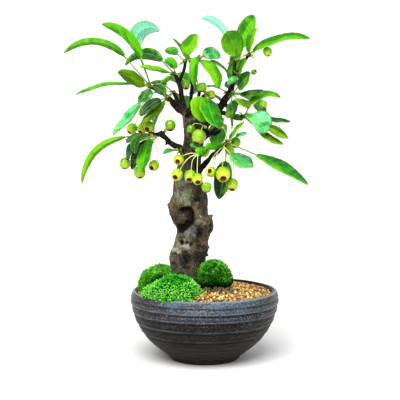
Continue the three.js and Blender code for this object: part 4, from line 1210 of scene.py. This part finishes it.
def bark_tint(points, front, twig):
    """The bark's colour at each point: clouds of grey and brown, painted shade towards the foot,
    darker up into the crown, with the front's patches, some of them painted shade.
    """
    cloud = np.clip(0.5 + 0.9 * layered(points, 12, 3, 71), 0, 1)
    tint = painted(linear(*BARK_TINTS["brown"]), "grey", cloud)
    tint = painted(tint, "warm", np.clip(layered(points, 8, 2, 91) * 1.4 - 0.2, 0, 0.7))
    # Painted shade darkens the trunk towards its foot among the moss; above 150 mm it grows darker up
    # into the crown.
    tint = tint * np.clip(0.45 + (points[:, 2] - 66) / 40, 0.45, 1)[:, None]
    tint = tint * np.clip(1 - (points[:, 2] - 150) / 35, 0.5, 1)[:, None]
    aside, above = (1.6 * layered(points, 3, 2, seed) for seed in (61, 63))
    # The front's patches: bark colour, with painted shade in the dark ones by the hollows and the
    # foot.
    for name, x, z, wide, high, share in BARK_PATCHES:
        away = ((points[:, 0] + aside - x) / wide) ** 2 + ((points[:, 2] + above - z) / high) ** 2
        tint = painted(tint, name, share * front * np.clip(1.35 - away, 0, 1))
    return painted(tint, "twig", 0.95 * twig)


def make_wood():
    heap = Heap()
    heap.add(*trunk_skin())
    for limb in LIMBS:
        heap.add(*tube(kinked(spline(limb, CURVE_STEPS)), LIMB_SIDES))
    for spur in SPURS:
        heap.add(*tube(spline(spur, 4), SPUR_SIDES))
    for *place, radius in LUMPS:
        heap.add(*ball(radius, place, 3))
    heap.add(*tube(scar_ring(), SPUR_SIDES))
    mesh = one_skin(heap, "tree_bark")
    points = vertex_values(mesh, "co") / MM
    normals = vertex_values(mesh, "normal")
    x, y, radius = trunk_axis(points[:, 2])
    off = np.hypot(points[:, 0] - x, points[:, 1] - y)
    twig = np.clip((off - radius - TWIG_FROM) / 3, 0, 1)
    twig = np.maximum(twig, np.clip((points[:, 2] - TWIG_ABOVE) / 6, 0, 1))
    front = np.clip(-normals[:, 1] * 1.6 + 0.5, 0, 1) * (points[:, 1] < y + 2)
    height, dark = bark_relief(points, front, twig)
    give_values(mesh, "dark", dark)
    give_values(mesh, "tint", bark_tint(points, front, twig))
    points = points + normals * height[:, None]
    mesh.vertices.foreach_set("co", (points * MM).ravel())
    mesh.update()
    give(dressed(mesh, bark()), "bark", "tree_wood")


# ---- leaves ----

# Colour of the upper face, how much painted mint sky sheen lies on it, and how pale the underside is.
TONES = {
    "lime": ((112, 176, 10), 0.0, 0.2), "fresh": ((66, 160, 8), 0.0, 0.2),
    "leafy": ((84, 164, 8), 0.0, 0.2), "mid": ((40, 132, 8), 0.05, 0.2),
    "dark": ((20, 82, 8), 0.06, 0.1), "deep": ((10, 50, 6), 0.1, 0.0),
    "olive": ((104, 138, 8), 0.0, 0.1), "jade": ((30, 130, 40), 0.35, 0.4),
    "mint": ((52, 158, 74), 0.8, 0.7), "pale": ((96, 190, 140), 1.0, 0.9),
    "gold": ((206, 160, 44), 0.0, 0.0),
}
# Columns of a blade's mesh, from margin to margin in half widths.
ACROSS = np.array([-1, -0.86, -0.64, -0.4, -0.2, -0.07, 0, 0.07, 0.2, 0.4, 0.64, 0.86, 1])
WIDEST = 0.4551  # the largest value of the curve that a blade's outline follows
TOOTH_PITCH = 2.1  # about the length of blade that each tooth takes
TOOTH = 0.42  # height of a tooth
VEINS = 8.5  # pairs along a blade
FOLD = math.radians(15)  # how far each half of a blade rises from the flat
WAVE = 0.075  # height of the waves of a margin, in half widths
CURL = 0.16  # how far a margin turns down again, in half widths
QUILT = 0.1  # height of the ridges between the veins at the margin
MIDRIB_GROOVE = 0.12  # its depth
BLADE_THICKNESS = 0.34
RIB_THICKNESS = 0.4  # of the midrib at the foot of the blade, under it
STALK = 0.5  # radius of a leaf stalk
STALK_SIDES = 8
SCALES = 4  # round the foot of each rosette
KNOB = [1.7, 1.7, 2.0]  # half axes of the spur that a rosette grows from
SPUR_TINT = linear(104, 92, 52)
STALK_TINT = linear(150, 190, 70)
NO_BLADE = dict(blade=[0, 0.5, 0], mint=0.0, vein=0.25, bloom=0.0)  # values of spurs and stalks


def toothed(blade, width):
    """Stations along a blade, from 0 to 1, and its half width with the teeth at each of them."""
    teeth = max(5, round(blade / TOOTH_PITCH))
    along = np.linspace(0, 1, 3 * teeth + 1)
    tooth = np.array([0.0, 0.45, 1.0])[np.arange(len(along)) % 3]
    half = width / 2 * (along**0.5 * (1 - along) ** 0.65 / WIDEST)
    half = half * (1 - TOOTH / width) + TOOTH * (tooth - 0.35) * np.clip(half, 0, 1)
    return along, np.maximum(half, np.where(along < 0.5, STALK, 0.05))


def blade_relief(draw, along, half, blade):
    """For each point of a blade: how far across it lies, which vein it is near, how high over
    the flat, and how thick the blade is."""
    away = np.abs(ACROSS)
    reach = half * ACROSS
    phase = draw.uniform(0, 6.28, 2)
    waves = draw.uniform(1.2, 2.2)
    ripple = np.sin(2 * np.pi * waves * along + np.where(ACROSS > 0, phase[0], phase[1]))
    vein = (along * blade - np.abs(reach) * 0.75) / (blade / VEINS)
    lift = np.abs(reach) * math.sin(FOLD) + WAVE * half * ripple * away**2
    lift = lift - CURL * half * away**3 + QUILT * np.cos(2 * np.pi * vein) * away
    lift = lift - MIDRIB_GROOVE * bell(reach, 0.5)
    thick = BLADE_THICKNESS + RIB_THICKNESS * bell(reach, 0.6) * (1 - along * 0.7)
    return reach, vein, lift, thick


def add_leaf(heap, at, numbers, seed):
    """Adds a leaf on its stalk, whose blade is folded, waved and toothed."""
    heading, rise, stalk, blade, droop, width, roll, tone = numbers
    draw = np.random.default_rng(seed)
    turn, rise, droop, roll = (math.radians(value) for value in (heading, rise, droop, roll))
    base = np.array(at, float) + direction(turn, rise) * stalk
    level = np.array([-math.sin(turn), math.cos(turn), 0.0])
    along, half = toothed(blade, width)
    middle = bent_to(base, turn, rise, droop * along, blade * along)
    tangent = direction(turn, rise - droop * along)
    side = level * math.cos(roll) + np.cross(tangent, level) * math.sin(roll)
    up = np.cross(tangent, side)
    reach, vein, lift, thick = blade_relief(draw, along[:, None], half[:, None], blade)

    def spread(raise_by):
        return (middle[:, None] + side[:, None] * (reach * math.cos(FOLD))[..., None]
                + up[:, None] * raise_by[..., None])

    points, faces = loft(np.concatenate([spread(lift)[:, ::-1], spread(lift - thick)], axis=1))
    place = np.broadcast_arrays(along[:, None], np.concatenate([ACROSS[::-1], ACROSS]),
                                np.repeat([1.0, -1.0], len(ACROSS)))
    colour, mint, bloom = TONES[tone]
    tint = linear(*colour) * draw.uniform(0.88, 1.12)
    # The mint value sets how much painted sky sheen the material lays on.
    heap.add(points, faces, blade=np.stack(place, axis=-1).reshape(-1, 3), tint=tint,
             mint=mint * draw.uniform(0.7, 1.2), bloom=bloom,
             vein=np.concatenate([vein[:, ::-1], vein], axis=1).ravel())
    share = np.linspace(0, 1, 7)[:, None]
    line = np.array(at) + (base + direction(turn, rise) * 1.2 - at) * share
    line = line + level * 0.25 * np.sin(share * np.pi * 1.6)
    thick = STALK * (1 + 0.5 * np.exp(-share * 9) + 0.2 * share**4)
    heap.add(*tube(np.hstack([line, thick]), STALK_SIDES), tint=STALK_TINT, **NO_BLADE)


def add_scales(heap, at, seed):
    """Papery golden scales and small stipules that stand round the foot of the leaf stalks."""
    draw = np.random.default_rng(seed)
    for turn in np.arange(SCALES) * 360 / SCALES + draw.uniform(0, 60):
        size = draw.uniform(3.2, 6.5)
        add_leaf(heap, at, [turn + draw.uniform(-20, 20), draw.uniform(-25, 60), 0.9, size,
                            draw.uniform(0, 70), size * 0.42, draw.uniform(-60, 60), "gold"],
                 seed * 10 + int(turn))


def make_leaves():
    materials = {tone: leaf_green(f"leaf_{tone}") for tone in ("lime", "mid", "dark")}
    for number, (name, (at, leaves)) in enumerate(SHOOTS.items()):
        heap = Heap()
        points, faces = ball(1, [0, 0, 0], 3)
        knob = points * KNOB * (1 + 0.16 * bumps(points, 0.5, number))[:, None]
        heap.add(knob + at, faces, tint=SPUR_TINT, **NO_BLADE)
        for i, leaf in enumerate(leaves):
            add_leaf(heap, at, leaf, 100 * number + i)
        add_scales(heap, at, 7000 + number)
        tone = SHOOT_SLOTS.get(name, "mid")
        foliage = dressed(heap.mesh(f"foliage_{name}"), materials[tone])
        give(foliage, f"leaf_{tone}", f"leaves_{name}")


# ---- fruit ----

# Half section of an apple, [radius, height] in half diameters, from the floor of its eye.
APPLE = np.array([
    [0.02, -0.68], [0.14, -0.69], [0.24, -0.76], [0.32, -0.88], [0.40, -0.96], [0.5, -0.97],
    [0.63, -0.88], [0.78, -0.7], [0.9, -0.45], [0.97, -0.18], [1.0, 0.1], [0.96, 0.38],
    [0.86, 0.63], [0.71, 0.81], [0.53, 0.92], [0.35, 0.96], [0.21, 0.92], [0.1, 0.84],
    [0.02, 0.8]])
EYE_RADIUS = 0.42  # of the half diameter
FRUIT_SIDES = 28
FRUIT_STALK = 0.4  # radius
FRUIT_STALK_SIDES = 7
FRUIT_CENTRE = 0.45  # of the diameter, beyond the end of the stalk's even bend
SEPALS = 5
SEPAL_FACES = [np.array([[0, 1, 3], [1, 2, 3], [2, 0, 3], [0, 2, 1]])]
WITHERED = dict(along=-1.0, eye=0.75, stem=0.0, green=0.0)  # values of the sepals
STEM = dict(along=1.0, eye=0.0, stem=1.0, green=0.0)


def add_sepals(heap, draw, centre, half, axis, level, front):
    """Adds the withered sepals that stand round the eye at the end of an apple's axis."""
    for k in range(SEPALS):
        angle = 2 * math.pi * (k + draw.uniform(-0.15, 0.15)) / SEPALS
        out = level * math.cos(angle) + front * math.sin(angle)
        root = centre + axis * 0.74 * half + out * 0.2 * half
        tip = centre + axis * (1.0 + draw.uniform(0, 0.08)) * half + out * 0.44 * half
        wide = np.cross(axis, out) * 0.13 * half
        heap.add([root - wide, root + wide, root - out * 0.08 * half, tip], SEPAL_FACES,
                 **WITHERED)


def add_fruit(heap, at, numbers, seed):
    """Adds a slightly ribbed apple on its stalk."""
    heading, rise, stalk, droop, diameter, right, down, green = numbers
    draw = np.random.default_rng(seed)
    turn, rise, droop = (math.radians(value) for value in (heading, rise, droop))
    half = diameter / 2
    end = bent_to(at, turn, rise, droop, stalk)
    centre = end + direction(turn, rise - droop) * FRUIT_CENTRE * diameter
    axis = unit(np.array([right, -math.sqrt(max(0.02, 1 - right**2 - down**2)), -down]))
    level = unit(np.cross(axis, [0.31, 0.2, 0.93]))
    front = np.cross(axis, level)
    around = turns(FRUIT_SIDES)
    lobes = 1 + 0.025 * np.cos(5 * around + draw.uniform(0, 6)) + 0.02 * np.cos(
        2 * around + draw.uniform(0, 6))
    reach, height = APPLE[::-1].T
    radius = reach[:, None] * half * lobes
    points, faces = loft(centre + level * (radius * np.cos(around))[..., None]
                         + front * (radius * np.sin(around))[..., None]
                         - axis * (height * half)[:, None, None])
    eye = np.clip((EYE_RADIUS + 0.03 - reach) / 0.08, 0, 1) * (height < 0)
    heap.add(points, faces, along=np.repeat(height, FRUIT_SIDES),
             eye=np.repeat(eye, FRUIT_SIDES), stem=0.0, green=green)
    add_sepals(heap, draw, centre, half, axis, level, front)
    share = np.linspace(0, 1, 14)
    dimple = centre - axis * 0.82 * half
    line = curve(at, at + direction(turn, rise) * stalk * 0.45,
                 dimple - axis * min(0.35 * stalk, 0.9 * diameter), dimple, share)
    thick = FRUIT_STALK * (1 + 0.7 * np.exp(-share * 12) + 0.5 * np.exp((share - 1) * 14))
    heap.add(*tube(np.column_stack([line, thick]), FRUIT_STALK_SIDES), **STEM)


def make_fruit():
    skin = fruit_skin()
    for number, (name, (at, fruits)) in enumerate(BUNCHES.items()):
        heap = Heap()
        heap.add(*ball(1.3, at, 2), **STEM)
        for i, fruit in enumerate(fruits):
            add_fruit(heap, np.array(at, float), fruit, 50 * number + i)
        give(dressed(heap.mesh(f"apples_{name}"), skin), "fruit", f"fruit_{name}")


# ---- camera, light and floor ----


def looking(way):
    """The turn of a camera or lamp that looks that way."""
    return Vector(way).to_track_quat("-Z", "Y").to_euler()


def make_camera():
    data = bpy.data.cameras.new("camera")
    data.lens = LENS
    data.clip_start = 0.01
    camera = new_object("camera", data)
    camera.location = CAMERA_AT
    camera.rotation_euler = looking(Vector(CAMERA_AIM) - camera.location)
    bpy.context.scene.camera = camera


def make_sky():
    """White all round the horizon and below it, and a dimmer cool sky above."""
    world = bpy.data.worlds.new("studio")
    world.use_nodes = True
    sky = Nodes(world.node_tree)
    height = sky.parts(sky.node("ShaderNodeTexCoord").outputs["Generated"])[2]
    colour = sky.mix(sky.band(height, SKY_FROM, SKY_TO), np.ones(3), np.array(SKY_COLOUR))
    sky.link(colour, sky.tree.nodes["Background"].inputs["Color"])
    bpy.context.scene.world = world


def make_stage():
    make_sky()
    for name, come_from, strength, width, colour in SUNS:
        data = bpy.data.lights.new(name, "SUN")
        data.energy = strength
        data.angle = math.radians(width)
        data.color = colour
        new_object(name, data).rotation_euler = looking(-Vector(come_from))
    shape = bmesh.new()
    bmesh.ops.create_circle(shape, cap_ends=True, segments=FLOOR_SIDES, radius=FLOOR_RADIUS)
    shader = Shader("floor_white", Roughness=0.9, Specular_IOR_Level=0.1)
    shader.base = shader.mix(shader.noise(400, 2), *(np.full(3, grey) for grey in FLOOR_GREYS))
    floor = dressed(mesh_of(shape, "floor"), shader.finished())
    bpy.context.scene.view_settings.view_transform = "Standard"
    bpy.context.scene.view_settings.look = "Medium High Contrast"


make_camera()
make_stage()
make_pot()
dress_hidden_nodes()
make_gravel()
for cushion in CUSHIONS:
    make_moss(cushion)
make_wood()
make_leaves()
make_fruit()
